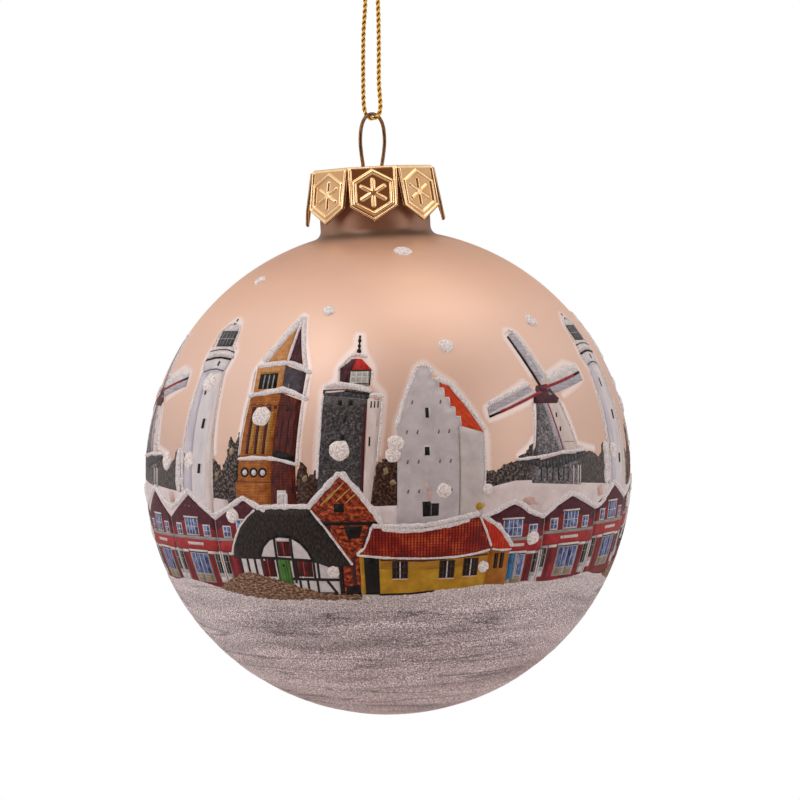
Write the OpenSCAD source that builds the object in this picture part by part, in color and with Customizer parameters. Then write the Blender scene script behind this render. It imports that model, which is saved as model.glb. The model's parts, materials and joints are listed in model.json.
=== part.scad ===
// Souvenir Christmas ornament: a blown glass ball with a printed winter village,
// a stamped crown cap, a spring wire hanger and a loop of gold cord.
// Millimetres, +Z up. The origin is the point inside the top of the cord loop
// where a twig or hook carries the ornament. The ball's axis is the Z axis.

/* [Glass ball] */
// Outer diameter of the ball
ball_d = 80; // [60:1:100]
// Thickness of the blown glass
glass_t = 0.8; // [0.7:0.1:1.2]
// Outer diameter of the neck
neck_d = 18.2; // [17:0.1:18.4]
// Radius of the blend between neck and ball
neck_blend = 1.5; // [0.5:0.1:2]

/* [Crown cap] */
// Height of the cap's top above the ball's centre, in ball radii
cap_rise = 1.25; // [1.2:0.01:1.3]
// Distance from the axis to a petal's flat face, at the top edge
crown_r = 9.9; // [9.9:0.1:10.4]
// Thickness of the stamped sheet
sheet_t = 0.35; // [0.3:0.05:0.4]
// Number of petals
petals = 8; // [8:1:8]
// Length of a petal down to its point
petal_len = 8.6; // [8:0.1:9]
// Width of a petal where its point begins
petal_w = 8.2; // [7.6:0.1:8.3]
// Outward lean of the petals, in degrees
petal_flare = 9.5; // [8:0.5:12]
// Height of the embossed lines
emboss_h = 0.2; // [0.1:0.05:0.3]
// Width of the embossed lines
emboss_w = 0.45; // [0.3:0.05:0.6]

/* [Wire hanger] */
// Diameter of the spring wire
wire_d = 0.6; // [0.5:0.05:0.7]
// Height of the wire eye above the cap
eye_h = 9; // [8.5:0.1:9.5]
// Turn of the wire's plane about the ball's axis, in degrees
wire_turn = 60; // [55:1:65]
// Sideways lean of the wire eye, in degrees
wire_lean = 3; // [2:0.5:4]

/* [Cord] */
// Diameter of the gold cord
cord_d = 0.75; // [0.7:0.05:0.8]
// Diameter of the knot
knot_d = 2.8; // [2.4:0.1:3]
// Length of the knot's trimmed ends
tail_len = 5; // [3:0.5:6]

/* [Paint] */
// Thickness of the printed village
print_t = 0.1; // [0.08:0.01:0.12]
// Thickness of the glitter snow at the bottom
snow_t = 0.25; // [0.2:0.05:0.4]
// Height of the raised snow dots
dot_h = 0.35; // [0.2:0.05:0.5]
// Lean of the printed band against the neck, in degrees
band_lean = 2; // [0:0.5:3]
// Number of times that the village repeats around the ball
repeats = 3; // [1:1:3]
// Angle from one village to the next, in degrees
repeat_angle = 116.5; // [114:0.5:120]

/* [Hidden] */

fine = 96;          // facets of true curves
film = 0.05;        // gap that keeps two coats apart
seat = 0.1;         // gap between the glass rim and the cap
loop_h = 36;        // from the origin down to the cord's lowest point
eye_gap = 0.05;     // gap between the cord and the wire above it

ball_r = ball_d / 2;
neck_r = neck_d / 2;
bore_r = neck_r - glass_t;
eye_top = -loop_h + cord_d / 2 + eye_gap + wire_d / 2;
cap_top = eye_top - eye_h;
ball_z = cap_top - cap_rise * ball_r;
neck_top = cap_rise * ball_r - sheet_t - seat;
print_r = ball_r + film;
dots_r = print_r + print_t + film;
ground_z = -0.415 * ball_r;

gold = "#e3b868";
bronze = "#6b5034";
cord_gold = "#c9962f";
pearl = "#d9b8a4";
brick = "#a8413a";
snow = "#c9bfc4";
white = "#f2eef0";

// The cord's route: from the knot down the back strand, under the wire and up the front strand.
cord_route = [
    [0.4, 0.4, 0], [0.3, 0.5, -3], [0.3, 0.6, -8], [0.3, 0.7, -13],
    [0.2, 0.8, -17], [-0.3, 0.8, -21.5], [-0.6, 0.8, -26], [-0.8, 0.8, -30],
    [-0.9, 0.8, -33], [-0.8, 0.75, -34.5], [-0.45, 0.55, -35.55], [0.5, 0, -36],
    [1.4, -0.55, -35.55], [1.8, -0.75, -34.5], [1.85, -0.8, -33], [1.8, -0.8, -30],
    [2, -0.8, -26], [2.2, -0.8, -21.5], [2.3, -0.8, -17], [2.2, -0.7, -13],
    [2, -0.6, -8], [1.6, -0.5, -3], [1.2, -0.4, 0]
];

// Half of the hanger: distance from the axis and height over the cap, from a leg's end to the eye's top.
wire_half = [
    [6.2, -17], [6.9, -15.5], [7.4, -12.5], [7.3, -9.5], [6.6, -6.2], [5.4, -3.2],
    [4.2, -1.3], [3.2, -0.5], [3.1, 0.6], [3.6, 2.4], [3.95, 4.6], [3.5, 7],
    [2.1, 8.5], [0, 9]
];

// One point of a Catmull-Rom curve through b and c.
function blend_point(a, b, c, d, t) =
    (2 * b + (c - a) * t + (2 * a - 5 * b + 4 * c - d) * t * t + (3 * b - a - 3 * c + d) * t * t * t) / 2;

// A smooth line through the points, with the given number of steps between two of them.
function smooth(p, steps) = [
    for (i = [0 : len(p) - 2], k = [0 : steps - 1])
        blend_point(p[max(i - 1, 0)], p[i], p[i + 1], p[min(i + 2, len(p) - 1)], k / steps),
    p[len(p) - 1]
];

function unit(v) = v / norm(v);

function tangent(p, i) = unit(p[min(i + 1, len(p) - 1)] - p[max(i - 1, 0)]);

// A ring of points around p[i], square to the line, whose first point faces the side direction.
function ring(p, i, r, sides, side) =
    let (t = tangent(p, i), u = unit(side - (side * t) * t), v = cross(t, u))
    [for (k = [0 : sides - 1]) p[i] + r * (cos(360 * k / sides) * u + sin(360 * k / sides) * v)];

// A round tube along a line; side is a direction that the line never follows.
module tube(p, r, sides, side) {
    last = len(p) - 1;
    points = [for (i = [0 : last]) each ring(p, i, r, sides, side)];
    walls = [
        for (i = [0 : last - 1], k = [0 : sides - 1])
            let (n = (k + 1) % sides)
            [i * sides + k, (i + 1) * sides + k, (i + 1) * sides + n, i * sides + n]
    ];
    first_cap = [for (k = [0 : sides - 1]) k];
    last_cap = [for (k = [sides - 1 : -1 : 0]) last * sides + k];
    polyhedron(points, concat([first_cap], walls, [last_cap]), convexity = 6);
}

// ---------------------------------------------------------------- cord

module hanging_cord() {
    loop_normal = [sin(90 - wire_turn), cos(90 - wire_turn), 0];
    color(cord_gold)
        tube(smooth(cord_route, 3), cord_d / 2, 8, loop_normal);
}

// The knot's body stands on the two strands' ends; two trimmed ends leave it at the top.
module cord_knot() {
    knot_h = 3.2;
    spread = 12;
    top_r = 0.35 * knot_d;
    color(cord_gold)
        translate([0.8, 0, 0]) {
            rotate_extrude($fn = fine)
                polygon([[0, 0], [top_r, 0], [knot_d / 2, 0.3 * knot_h], [knot_d / 2, 0.7 * knot_h],
                         [top_r, knot_h], [0, knot_h]]);
            for (turn = [40, 220])
                rotate([0, 0, turn])
                    translate([cord_d / 2, 0, knot_h - 0.3])
                        rotate([0, spread, 0])
                            cylinder(h = tail_len, d = cord_d, $fn = fine);
        }
}

// ---------------------------------------------------------------- hanger

// A point of the hanger in space: u runs in the wire's plane and h is the height over the cap.
function wire_point(u, h) =
    [u * cos(wire_turn) + max(h, 0) * tan(wire_lean), u * sin(wire_turn), cap_top + h * eye_scale(h)];

// The eye keeps its form when its height is changed; the legs below the cap stay as they are.
function eye_scale(h) = h > 0 ? eye_h / 9 : 1;

module hanger_wire() {
    left = [for (q = wire_half) wire_point(-q[0], q[1])];
    right = [for (i = [len(wire_half) - 2 : -1 : 0]) wire_point(wire_half[i][0], wire_half[i][1])];
    plane_normal = [sin(wire_turn), -cos(wire_turn), 0];
    color(bronze)
        tube(smooth(concat(left, right), 5), wire_d / 2, 10, plane_normal);
}

// ---------------------------------------------------------------- cap

// A petal's outline: straight sides and a pointed end, with its top edge on y = 0.
function petal_outline(inset) =
    let (w = petal_w / 2 - inset, shoulder = -petal_len + 2.5, drop = inset * 1.15)
    [[-w + 0.15, -inset], [w - 0.15, -inset], [w, shoulder + 0.2 * inset],
     [0, -petal_len + drop], [-w, shoulder + 0.2 * inset]];

module hexagon(r) {
    rotate(30)
        circle(r = r, $fn = 6);
}

// Flat view of what is raised on a petal: a rim, a hexagon and a star of three bars.
module petal_relief() {
    hexagon_r = 3.5;
    hexagon_y = -0.45 * petal_len;
    bar_len = 4.8;
    difference() {
        polygon(petal_outline(0));
        polygon(petal_outline(emboss_w));
    }
    translate([0, hexagon_y]) {
        difference() {
            hexagon(hexagon_r);
            hexagon(hexagon_r - emboss_w);
        }
        for (turn = [30, 90, 150])
            rotate(turn)
                square([bar_len, emboss_w], center = true);
    }
}

module petal() {
    translate([0, -crown_r, -0.3])
        rotate([90 - petal_flare, 0, 0])
            translate([0, 0, -sheet_t]) {
                linear_extrude(sheet_t)
                    polygon(petal_outline(0));
                linear_extrude(sheet_t + emboss_h)
                    petal_relief();
            }
}

// The slot for one leg of the wire, long enough for the leg to spread as it is pushed down.
module leg_slot() {
    slot_w = 1.1;
    inner_r = 2.75;
    outer_r = 3.95;
    translate([inner_r, -slot_w / 2, -2 * sheet_t])
        cube([outer_r - inner_r, slot_w, 3 * sheet_t]);
    for (r = [inner_r, outer_r])
        translate([r, 0, -2 * sheet_t])
            cylinder(h = 3 * sheet_t, d = slot_w, $fn = fine);
}

module crown_cap() {
    plate_r = crown_r - 0.1;
    color(gold)
        translate([0, 0, cap_top])
            difference() {
                union() {
                    intersection() {
                        rotate([0, 0, 180 / petals])
                            translate([0, 0, -sheet_t])
                                cylinder(h = sheet_t, r = plate_r / cos(180 / petals), $fn = petals);
                        translate([0, 0, -sheet_t])
                            cylinder(h = sheet_t, r = plate_r + 0.45, $fn = fine);
                    }
                    for (i = [0 : petals - 1])
                        rotate([0, 0, i * 360 / petals])
                            petal();
                }
                for (turn = [wire_turn, wire_turn + 180])
                    rotate([0, 0, turn])
                        leg_slot();
            }
}

// ---------------------------------------------------------------- ball

// Solid of revolution that fills the corner between the neck and the ball with a concave blend.
module blend_ring() {
    // the blend's circle touches the neck and the ball
    centre_x = neck_r + neck_blend;
    centre_z = sqrt(pow(ball_r + neck_blend, 2) - centre_x * centre_x);
    touch = ball_r / (ball_r + neck_blend);
    rotate_extrude($fn = fine)
        difference() {
            polygon([[neck_r - 0.5, centre_z], [centre_x - neck_blend, centre_z],
                     [centre_x, centre_z], [centre_x * touch, centre_z * touch],
                     [centre_x * touch - 0.5, centre_z * touch - 1], [neck_r - 0.5, centre_z - 3]]);
            translate([centre_x, centre_z])
                circle(r = neck_blend, $fn = fine);
        }
}

module glass_ball() {
    color(pearl)
        translate([0, 0, ball_z])
            difference() {
                union() {
                    sphere(r = ball_r, $fn = fine);
                    cylinder(h = neck_top, r = neck_r, $fn = fine);
                    blend_ring();
                }
                sphere(r = ball_r - glass_t, $fn = fine);
                cylinder(h = neck_top + 1, r = bore_r, $fn = fine);
            }
}

// ---------------------------------------------------------------- paint

// Every coat is placed about the ball's centre and leans with the printed band.
module on_ball() {
    translate([0, 0, ball_z])
        rotate([0, band_lean, 0])
            children();
}

// The front village has one copy on each side; the seam between the copies is at the back.
module around() {
    for (i = [0 : repeats - 1])
        rotate([0, 0, (i == 2 ? -1 : i) * repeat_angle])
            children();
}

// A coat of the given thickness all over the ball.
module coat(inner_r, thickness) {
    difference() {
        sphere(r = inner_r + thickness, $fn = fine);
        sphere(r = inner_r, $fn = fine);
    }
}

// Flat place of a point given by its azimuth in degrees and its height, seen from azimuth a0.
function facing(q, a0) = [sqrt(ball_r * ball_r - q[1] * q[1]) * sin(q[0] - a0), q[1]];

// A patch of print: the outline lists azimuths and heights.
module patch(a0, outline) {
    intersection() {
        coat(print_r, print_t);
        rotate([0, 0, a0])
            rotate([90, 0, 0])
                linear_extrude(ball_r + 5)
                    polygon([for (q = outline) facing(q, a0)]);
    }
}

roof_z = -4.6;      // top of the belt of houses

tall_lighthouse = [
    [-53.5, roof_z], [-43.5, roof_z], [-43.9, 18], [-42.8, 19], [-42.8, 20.6], [-45.5, 21],
    [-46, 23.5], [-48, 25.2], [-50, 23.5], [-50.5, 21], [-54, 20.6], [-54, 19], [-53, 18]
];
bell_tower = [
    [-36.3, roof_z], [-20.2, roof_z], [-20, 13], [-18.6, 14], [-18.6, 17.5],
    [-20.5, 18.5], [-25, 26.2], [-34, 18.5], [-34.8, 14]
];
stone_lighthouse = [
    [-15.2, roof_z], [-2, roof_z], [-1.2, 13.2], [-2.6, 15.5], [-3.7, 15.6], [-3.7, 18],
    [-6.2, 19.6], [-6.8, 22.6], [-7.6, 19.6], [-10.9, 18], [-10.9, 15.6], [-16, 15.4]
];
church = [
    [2.1, roof_z], [22.5, roof_z], [22.4, 7.8], [12.6, 15.6], [11, 17.8], [8.8, 17.8], [3, 8]
];
windmill = [
    [36, roof_z], [50, roof_z], [49, 2.2], [54, 3.2], [53.6, 4.2], [48, 5], [43.6, 12.2],
    [57.2, 14.6], [58.4, 17], [41.4, 15.4], [38.2, 22.8], [35.6, 22.6], [38.4, 14.8],
    [24.6, 9.6], [24, 11.6], [24.4, 9.4], [38.2, 12.4], [36, 5], [30, 3.8], [30, 2.6], [35.4, 2]
];

module village_print() {
    color(brick)
        on_ball() {
            intersection() {
                coat(print_r, print_t);
                translate([0, 0, ground_z + film])
                    cylinder(h = roof_z - film - ground_z - film, r = ball_r + 5, $fn = fine);
            }
            around() {
                patch(-48, tall_lighthouse);
                patch(-27, bell_tower);
                patch(-8, stone_lighthouse);
                patch(12, church);
                patch(42, windmill);
            }
        }
}

module snow_ground() {
    color(snow)
        on_ball()
            intersection() {
                coat(print_r, snow_t);
                translate([0, 0, -ball_r - 5])
                    cylinder(h = ball_r + 5 + ground_z, r = ball_r + 5, $fn = fine);
            }
}

// Snow dots that every village has: azimuth, height and radius.
dots = [
    [10, 36, 1.5], [-17, 26.7, 1], [16, 21, 1.25], [-30, 10.6, 1.65], [-10.6, 5.4, 1.65],
    [2, 6.4, 1.3], [1.4, 4.6, 1.2], [12.5, -1, 1.2], [22.6, -1, 0.9], [35, -9, 1.25],
    [22.6, -13, 1], [-37.5, -4.8, 1.3], [-13, -13.3, 1.05], [65, 3.6, 1.4]
];

// Snow dots that are on the ball only once.
single_dots = [
    [-55, 31.7, 1.1], [47, 24.6, 1.2], [-49, 15.7, 1.6], [-61.8, 3.2, 1.5], [170, 30, 1.2],
    [-176, 15, 1.3], [-140, 28.5, 1.1], [140, 25, 1.2], [112, 29, 1]
];

// A low dome on a short upright rim, standing on the ball.
module dot(r, h) {
    crown = h - 0.1;
    dome_r = (r * r + crown * crown) / (2 * crown);
    intersection() {
        cylinder(h = h, r = r, $fn = fine);
        translate([0, 0, h - dome_r])
            sphere(r = dome_r, $fn = fine);
    }
}

// The dots of a list, each at its place on the ball.
module dots_at(list) {
    for (q = list)
        rotate([0, 0, q[0] - 90])
            rotate([0, 90 - asin(q[1] / ball_r), 0])
                translate([0, 0, dots_r])
                    dot(q[2], dot_h);
}

module snow_dots() {
    color(white)
        on_ball() {
            around()
                dots_at(dots);
            dots_at(single_dots);
        }
}

hanging_cord();
cord_knot();
hanger_wire();
crown_cap();
glass_ball();
village_print();
snow_ground();
snow_dots();
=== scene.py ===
"""The looks of a painted glass ball with its stamped cap, wire hanger and gold thread.

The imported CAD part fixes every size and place. Lengths below are in millimetres until a mesh is made.
"""

import json
import math
import random

import bmesh
import bpy
from mathutils import Matrix, Vector, noise

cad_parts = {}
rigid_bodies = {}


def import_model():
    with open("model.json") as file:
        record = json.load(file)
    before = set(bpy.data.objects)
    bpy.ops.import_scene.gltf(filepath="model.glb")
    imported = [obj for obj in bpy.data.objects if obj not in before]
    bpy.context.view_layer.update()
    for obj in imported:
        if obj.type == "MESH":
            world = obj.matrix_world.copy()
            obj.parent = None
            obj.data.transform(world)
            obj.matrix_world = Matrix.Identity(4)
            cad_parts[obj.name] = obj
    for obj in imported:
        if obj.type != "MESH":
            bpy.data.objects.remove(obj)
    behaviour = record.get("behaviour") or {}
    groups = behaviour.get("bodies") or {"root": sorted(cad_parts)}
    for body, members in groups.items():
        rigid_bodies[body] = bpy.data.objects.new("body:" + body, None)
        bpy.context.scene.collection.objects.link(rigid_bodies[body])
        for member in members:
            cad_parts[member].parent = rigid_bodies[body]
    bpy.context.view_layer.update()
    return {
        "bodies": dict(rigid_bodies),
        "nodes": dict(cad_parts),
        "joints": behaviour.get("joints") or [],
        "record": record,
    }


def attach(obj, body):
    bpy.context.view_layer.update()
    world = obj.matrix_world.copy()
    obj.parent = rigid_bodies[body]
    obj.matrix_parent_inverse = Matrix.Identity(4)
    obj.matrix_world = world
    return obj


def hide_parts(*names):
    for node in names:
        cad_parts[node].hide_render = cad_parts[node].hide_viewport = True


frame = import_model()

MM = 0.001
WHITE, BLACK = (1, 1, 1, 1), (0, 0, 0, 1)

# The ball's centre and radius, and the lean of the printed band against the ball's axis.
CENTRE = Vector((0, 0, -94.275))
R = 40.0
BAND = Matrix.Translation(CENTRE) @ Matrix.Rotation(math.radians(2.0), 4, "Y")
TURNS = (0, 116.5, -116.5)  # where the picture starts again, in degrees; its seam lies at the back

# ------------------------------------------------------------------ camera


def add_camera():
    """A long lens a little above the ball's middle, turned so that the thread hangs upright."""
    distance, rise, roll = 500.0, math.radians(1.869), math.radians(2.94)
    aim = CENTRE + Vector((2.58, 0, 11.6))
    eye = aim + distance * Vector((0, -math.cos(rise), math.sin(rise)))
    forward = (aim - eye).normalized()
    level = forward.cross(Vector((0, 0, 1))).normalized()
    top = level.cross(forward)
    right = level * math.cos(roll) - top * math.sin(roll)
    up = top * math.cos(roll) + level * math.sin(roll)
    data = bpy.data.cameras.new("camera")
    data.sensor_width, data.lens = 36.0, 135.9
    data.clip_start = 0.01
    camera = bpy.data.objects.new("camera", data)
    camera.matrix_world = Matrix.Translation(eye * MM) @ Matrix((right, up, -forward)).transposed().to_4x4()
    bpy.context.scene.collection.objects.link(camera)
    bpy.context.scene.camera = camera


add_camera()

# ------------------------------------------------------------------ small tools


def rgb(code):
    """Linear colour of a six-digit web colour."""
    parts = [int(code[i : i + 2], 16) / 255 for i in (0, 2, 4)]
    return [p / 12.92 if p <= 0.04045 else ((p + 0.055) / 1.055) ** 2.4 for p in parts] + [1.0]


def grey(value):
    return (value, value, value, 1)


def catmull(points, steps):
    """A smooth line through the points, with that many steps in each span."""
    pts = [Vector(p) for p in points]
    pts = [2 * pts[0] - pts[1]] + pts + [2 * pts[-1] - pts[-2]]
    line = []
    for a, b, c, d in zip(pts, pts[1:], pts[2:], pts[3:]):
        for k in range(steps):
            t = k / steps
            bend, twist = 2 * a - 5 * b + 4 * c - d, 3 * b - a - 3 * c + d
            line.append(0.5 * (2 * b + (c - a) * t + bend * t * t + twist * t**3))
    return line + [pts[-2]]


def even(points, spacing):
    """The same line with points at an even spacing along it."""
    total = sum((b - a).length for a, b in zip(points, points[1:]))
    count = max(2, round(total / spacing))
    step, line, walked, goal = total / count, [points[0].copy()], 0.0, total / count
    for a, b in zip(points, points[1:]):
        length = (b - a).length
        while length > 0 and goal <= walked + length + 1e-9 and len(line) < count:
            line.append(a.lerp(b, (goal - walked) / length))
            goal += step
        walked += length
    return line + [points[-1].copy()]


def carried_frames(points):
    """A side and an up direction at each point, carried along the line without twist."""
    tangents = [(b - a).normalized() for a, b in zip(points, points[1:])]
    tangents = [tangents[0]] + [(a + b).normalized() for a, b in zip(tangents, tangents[1:])] + [tangents[-1]]
    side = tangents[0].orthogonal().normalized()
    frames = []
    for tangent in tangents:
        side = (side - tangent * side.dot(tangent)).normalized()
        frames.append((side, tangent.cross(side)))
    return frames


def mesh_object(name, bm, materials):
    """A scene object from a bmesh in millimetres, with its materials."""
    bm.transform(Matrix.Scale(MM, 4))
    mesh = bpy.data.meshes.new(name)
    for face in bm.faces:
        face.smooth = True
    bm.to_mesh(mesh)
    bm.free()
    for material in materials:
        mesh.materials.append(material)
    obj = bpy.data.objects.new(name, mesh)
    bpy.context.scene.collection.objects.link(obj)
    return obj


def loft(bm, rings):
    """Faces between closed rings of vertices, with a face over each end."""
    made = [[bm.verts.new(p) for p in ring] for ring in rings]
    n = len(made[0])
    for a, b in zip(made, made[1:]):
        for i in range(n):
            j = (i + 1) % n
            bm.faces.new((a[i], a[j], b[j], b[i]))
    for ring, turn in ((made[0], -1), (made[-1], 1)):
        bm.faces.new(ring[::turn])
    return made


def circle(middle, frame_axes, radius, sides):
    """Points round the middle, in the plane of the two directions."""
    side, up = frame_axes
    turns = [2 * math.pi * k / sides for k in range(sides)]
    return [middle + radius * (side * math.cos(a) + up * math.sin(a)) for a in turns]


def tube(bm, points, radius, sides):
    """A round wire along the points, thinner at its two ends."""
    rings = []
    last = len(points) - 1
    for i, (p, axes) in enumerate(zip(points, carried_frames(points))):
        rings.append(circle(p, axes, radius * (0.6 if i in (0, last) else 1.0), sides))
    loft(bm, rings)


# ------------------------------------------------------------------ materials


def set_stops(node, stops):
    """Fills a colour ramp with (position, colour) pairs; a colour is four numbers or a web colour."""
    items = node.color_ramp.elements
    while len(items) < len(stops):
        items.new(0.5)
    for item, (place, colour) in zip(items, stops):
        item.position, item.color = place, rgb(colour) if isinstance(colour, str) else colour


class Nodes:
    """Builds one node material around a Principled shader."""

    def __init__(self, name):
        self.material = bpy.data.materials.new(name)
        self.material.use_nodes = True
        self.tree = self.material.node_tree
        self.shader = self.tree.nodes["Principled BSDF"]

    def add(self, kind, **values):
        node = self.tree.nodes.new(kind)
        for key, value in values.items():
            if hasattr(node, key):
                setattr(node, key, value)
            else:
                node.inputs[key.replace("_", " ")].default_value = value
        return node

    def link(self, out, socket):
        self.tree.links.new(out, socket)

    def coords(self, scale=(1, 1, 1), flat=False):
        """Object coordinates, or the print's own flat ones, in millimetres."""
        if flat:
            source = self.add("ShaderNodeUVMap", uv_map="flat").outputs["UV"]
            unit = 1.0
        else:
            source = self.add("ShaderNodeTexCoord").outputs["Object"]
            unit = 1 / MM
        mapping = self.add("ShaderNodeMapping")
        mapping.inputs["Scale"].default_value = [unit * s for s in scale]
        self.link(source, mapping.inputs["Vector"])
        return mapping.outputs["Vector"]

    def height(self, low, high):
        """0 where Z is low and 1 where it is high, both in millimetres."""
        parts = self.add("ShaderNodeSeparateXYZ")
        self.link(self.coords(), parts.inputs[0])
        part = self.add("ShaderNodeMapRange")
        part.inputs["From Min"].default_value, part.inputs["From Max"].default_value = low, high
        self.link(parts.outputs["Z"], part.inputs["Value"])
        return part.outputs["Result"]

    def product(self, a, b):
        node = self.add("ShaderNodeMath", operation="MULTIPLY")
        self.link(a, node.inputs[0])
        self.link(b, node.inputs[1])
        return node.outputs[0]

    def attribute(self, name):
        return self.add("ShaderNodeAttribute", attribute_name=name).outputs["Fac"]

    def cells(self, where, scale, **values):
        node = self.add("ShaderNodeTexVoronoi", Scale=scale, **values)
        self.link(where, node.inputs["Vector"])
        return node

    def glints(self, where, scale, full=0.0, none=0.1):
        """A white speck of painted glint in each cell, full up to one distance from its middle and gone at
        the next.
        """
        return self.ramp(self.cells(where, scale).outputs["Distance"], [(full, WHITE), (none, BLACK)])

    def noise(self, where, scale, detail=4.0, rough=0.55):
        node = self.add("ShaderNodeTexNoise", Scale=scale, Detail=detail, Roughness=rough)
        self.link(where, node.inputs["Vector"])
        return node.outputs["Fac"]

    def ramp(self, value, stops):
        node = self.add("ShaderNodeValToRGB")
        set_stops(node, stops)
        self.link(value, node.inputs["Fac"])
        return node.outputs["Color"]

    def range(self, value, low, high):
        node = self.add("ShaderNodeMapRange")
        node.inputs["To Min"].default_value, node.inputs["To Max"].default_value = low, high
        self.link(value, node.inputs["Value"])
        return node.outputs["Result"]

    def mix(self, factor, a, b, blend="MIX"):
        node = self.add("ShaderNodeMix", data_type="RGBA", blend_type=blend)
        pairs = ((node.inputs[0], factor), (node.inputs[6], a), (node.inputs[7], b))
        for socket, value in pairs:
            if isinstance(value, bpy.types.NodeSocket):
                self.link(value, socket)
            else:
                socket.default_value = value
        return node.outputs[2]

    def bump(self, height, depth_mm):
        node = self.add("ShaderNodeBump", Strength=1.0, Distance=depth_mm * MM)
        self.link(height, node.inputs["Height"])
        return node.outputs["Normal"]

    def finish(self, colour=None, rough=None, normal=None, **values):
        for socket, out in (("Base Color", colour), ("Roughness", rough), ("Normal", normal)):
            if out is not None:
                self.link(out, self.shader.inputs[socket])
        for key, value in values.items():
            self.shader.inputs[key.replace("_", " ")].default_value = value
        return self.material


def gold_thread():
    """Metallised thread, with painted shade dark brown in the grooves between its plies and a painted
    highlight on the tops of its twist.
    """
    n = Nodes("gold_thread")
    at = n.coords()
    fibres = n.noise(n.coords((1, 1, 5)), 6.0)
    # Painted shade and highlight: the ply's distance from the thread's middle, dark in the grooves and bright
    # on the outside.
    shade = n.attribute("crown")
    body = n.ramp(
        shade, [(0.0, "120803"), (0.45, "3a1d08"), (0.72, "a8701c"), (1.0, "ffd26a")]
    )
    colour = n.mix(n.range(n.noise(at, 2.0), 0.0, 0.5), body, rgb("8a5c1a"), "MULTIPLY")
    colour = n.mix(0.35, body, colour)
    return n.finish(colour, n.range(fibres, 0.22, 0.5), n.bump(fibres, 0.03), Metallic=0.75)


def bronze_wire():
    """Bronze-coated spring wire with drawing marks."""
    n = Nodes("bronze_wire")
    streaks = n.noise(n.coords((3, 3, 0.4)), 2.5)
    spots = n.noise(n.coords(), 3.0)
    colour = n.ramp(spots, [(0.25, "5c3f2a"), (0.55, "7c5c40"), (0.8, "9a7c5c")])
    return n.finish(colour, n.range(streaks, 0.14, 0.3), n.bump(streaks, 0.015), Metallic=1.0)


def stamped_gold():
    """Gold lacquer on thin stamped tin, with painted shade brown in the low parts of the stamping."""
    n = Nodes("stamped_gold")
    at = n.coords()
    clouds = n.noise(at, 0.5)
    fine = n.noise(n.coords((1, 1, 1.6)), 7.0)
    colour = n.ramp(clouds, [(0.2, "f6cc92"), (0.55, "ffe0b0"), (0.85, "fff0d4")])
    # Painted shade: brown where the stamped relief is low, and a little on the inner face.
    recess_shades = n.attribute("recess_shade")
    colour = n.mix(n.range(recess_shades, 0.0, 0.6), colour, rgb("a4662f"))
    return n.finish(colour, n.range(fine, 0.14, 0.3), n.bump(fine, 0.012), Metallic=1.0)


# ------------------------------------------------------------------ cord

CORD_D = 0.75
CORD_ROUTE_M = [
    (0.0004, 0.0004, 0), (0.0003, 0.0005, -0.003), (0.0003, 0.0006, -0.008), (0.0003, 0.0007, -0.013),
    (0.0002, 0.0008, -0.017), (-0.0003, 0.0008, -0.0215), (-0.0006, 0.0008, -0.026),
    (-0.0008, 0.0008, -0.03), (-0.0009, 0.0008, -0.033), (-0.0008, 0.00075, -0.0345),
    (-0.00045, 0.00055, -0.03555), (0.0005, 0, -0.036), (0.0014, -0.00055, -0.03555),
    (0.0018, -0.00075, -0.0345), (0.00185, -0.0008, -0.033), (0.0018, -0.0008, -0.03),
    (0.002, -0.0008, -0.026), (0.0022, -0.0008, -0.0215), (0.0023, -0.0008, -0.017),
    (0.0022, -0.0007, -0.013), (0.002, -0.0006, -0.008), (0.0016, -0.0005, -0.003), (0.0012, -0.0004, 0)
]
PLIES, PLY_OFFSET, PLY_R, PLY_SIDES, TWIST = 2, 0.18, 0.205, 9, 1.9


def twisted(bm, crown, points, phase=0.0):
    """A thread of two plies twisted round the line; crown stores how far out each vertex lies, which sets the
    thread's painted shade and highlight.
    """
    line = even(points, 0.13)
    frames = carried_frames(line)
    for ply in range(PLIES):
        walked, centres = 0.0, []
        for i, (p, (side, up)) in enumerate(zip(line, frames)):
            if i:
                walked += (p - line[i - 1]).length
            turn = 2 * math.pi * (walked / TWIST + ply / PLIES) + phase
            out = side * math.cos(turn) + up * math.sin(turn)
            centres.append(p + out * PLY_OFFSET)
        rings = []
        for c, axes in zip(centres, carried_frames(centres)):
            rough = 1 + 0.06 * noise.noise(c * 3.1 + Vector((ply * 7.0, 0, 0)))
            rings.append(circle(c, axes, PLY_R * rough, PLY_SIDES))
        for ring, p in zip(loft(bm, rings), line):
            for v in ring:
                v[crown] = min(1.0, (v.co - p).length / (0.5 * CORD_D))


def add_cord(material):
    route = [Vector(p) / MM for p in CORD_ROUTE_M]
    line = catmull(route, 8)
    bm = bmesh.new()
    # This layer carries the thread's painted shade and highlight.
    crown = bm.verts.layers.float.new("crown")
    twisted(bm, crown, line)
    cord = mesh_object("hanging_cord_thread", bm, [material])
    length = sum((b - a).length for a, b in zip(line, line[1:])) * MM
    path = [p * MM for p in even(line, 0.6)]
    knot = add_knot(material)
    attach(cord, "cord")
    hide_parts("hanging_cord")


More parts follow.
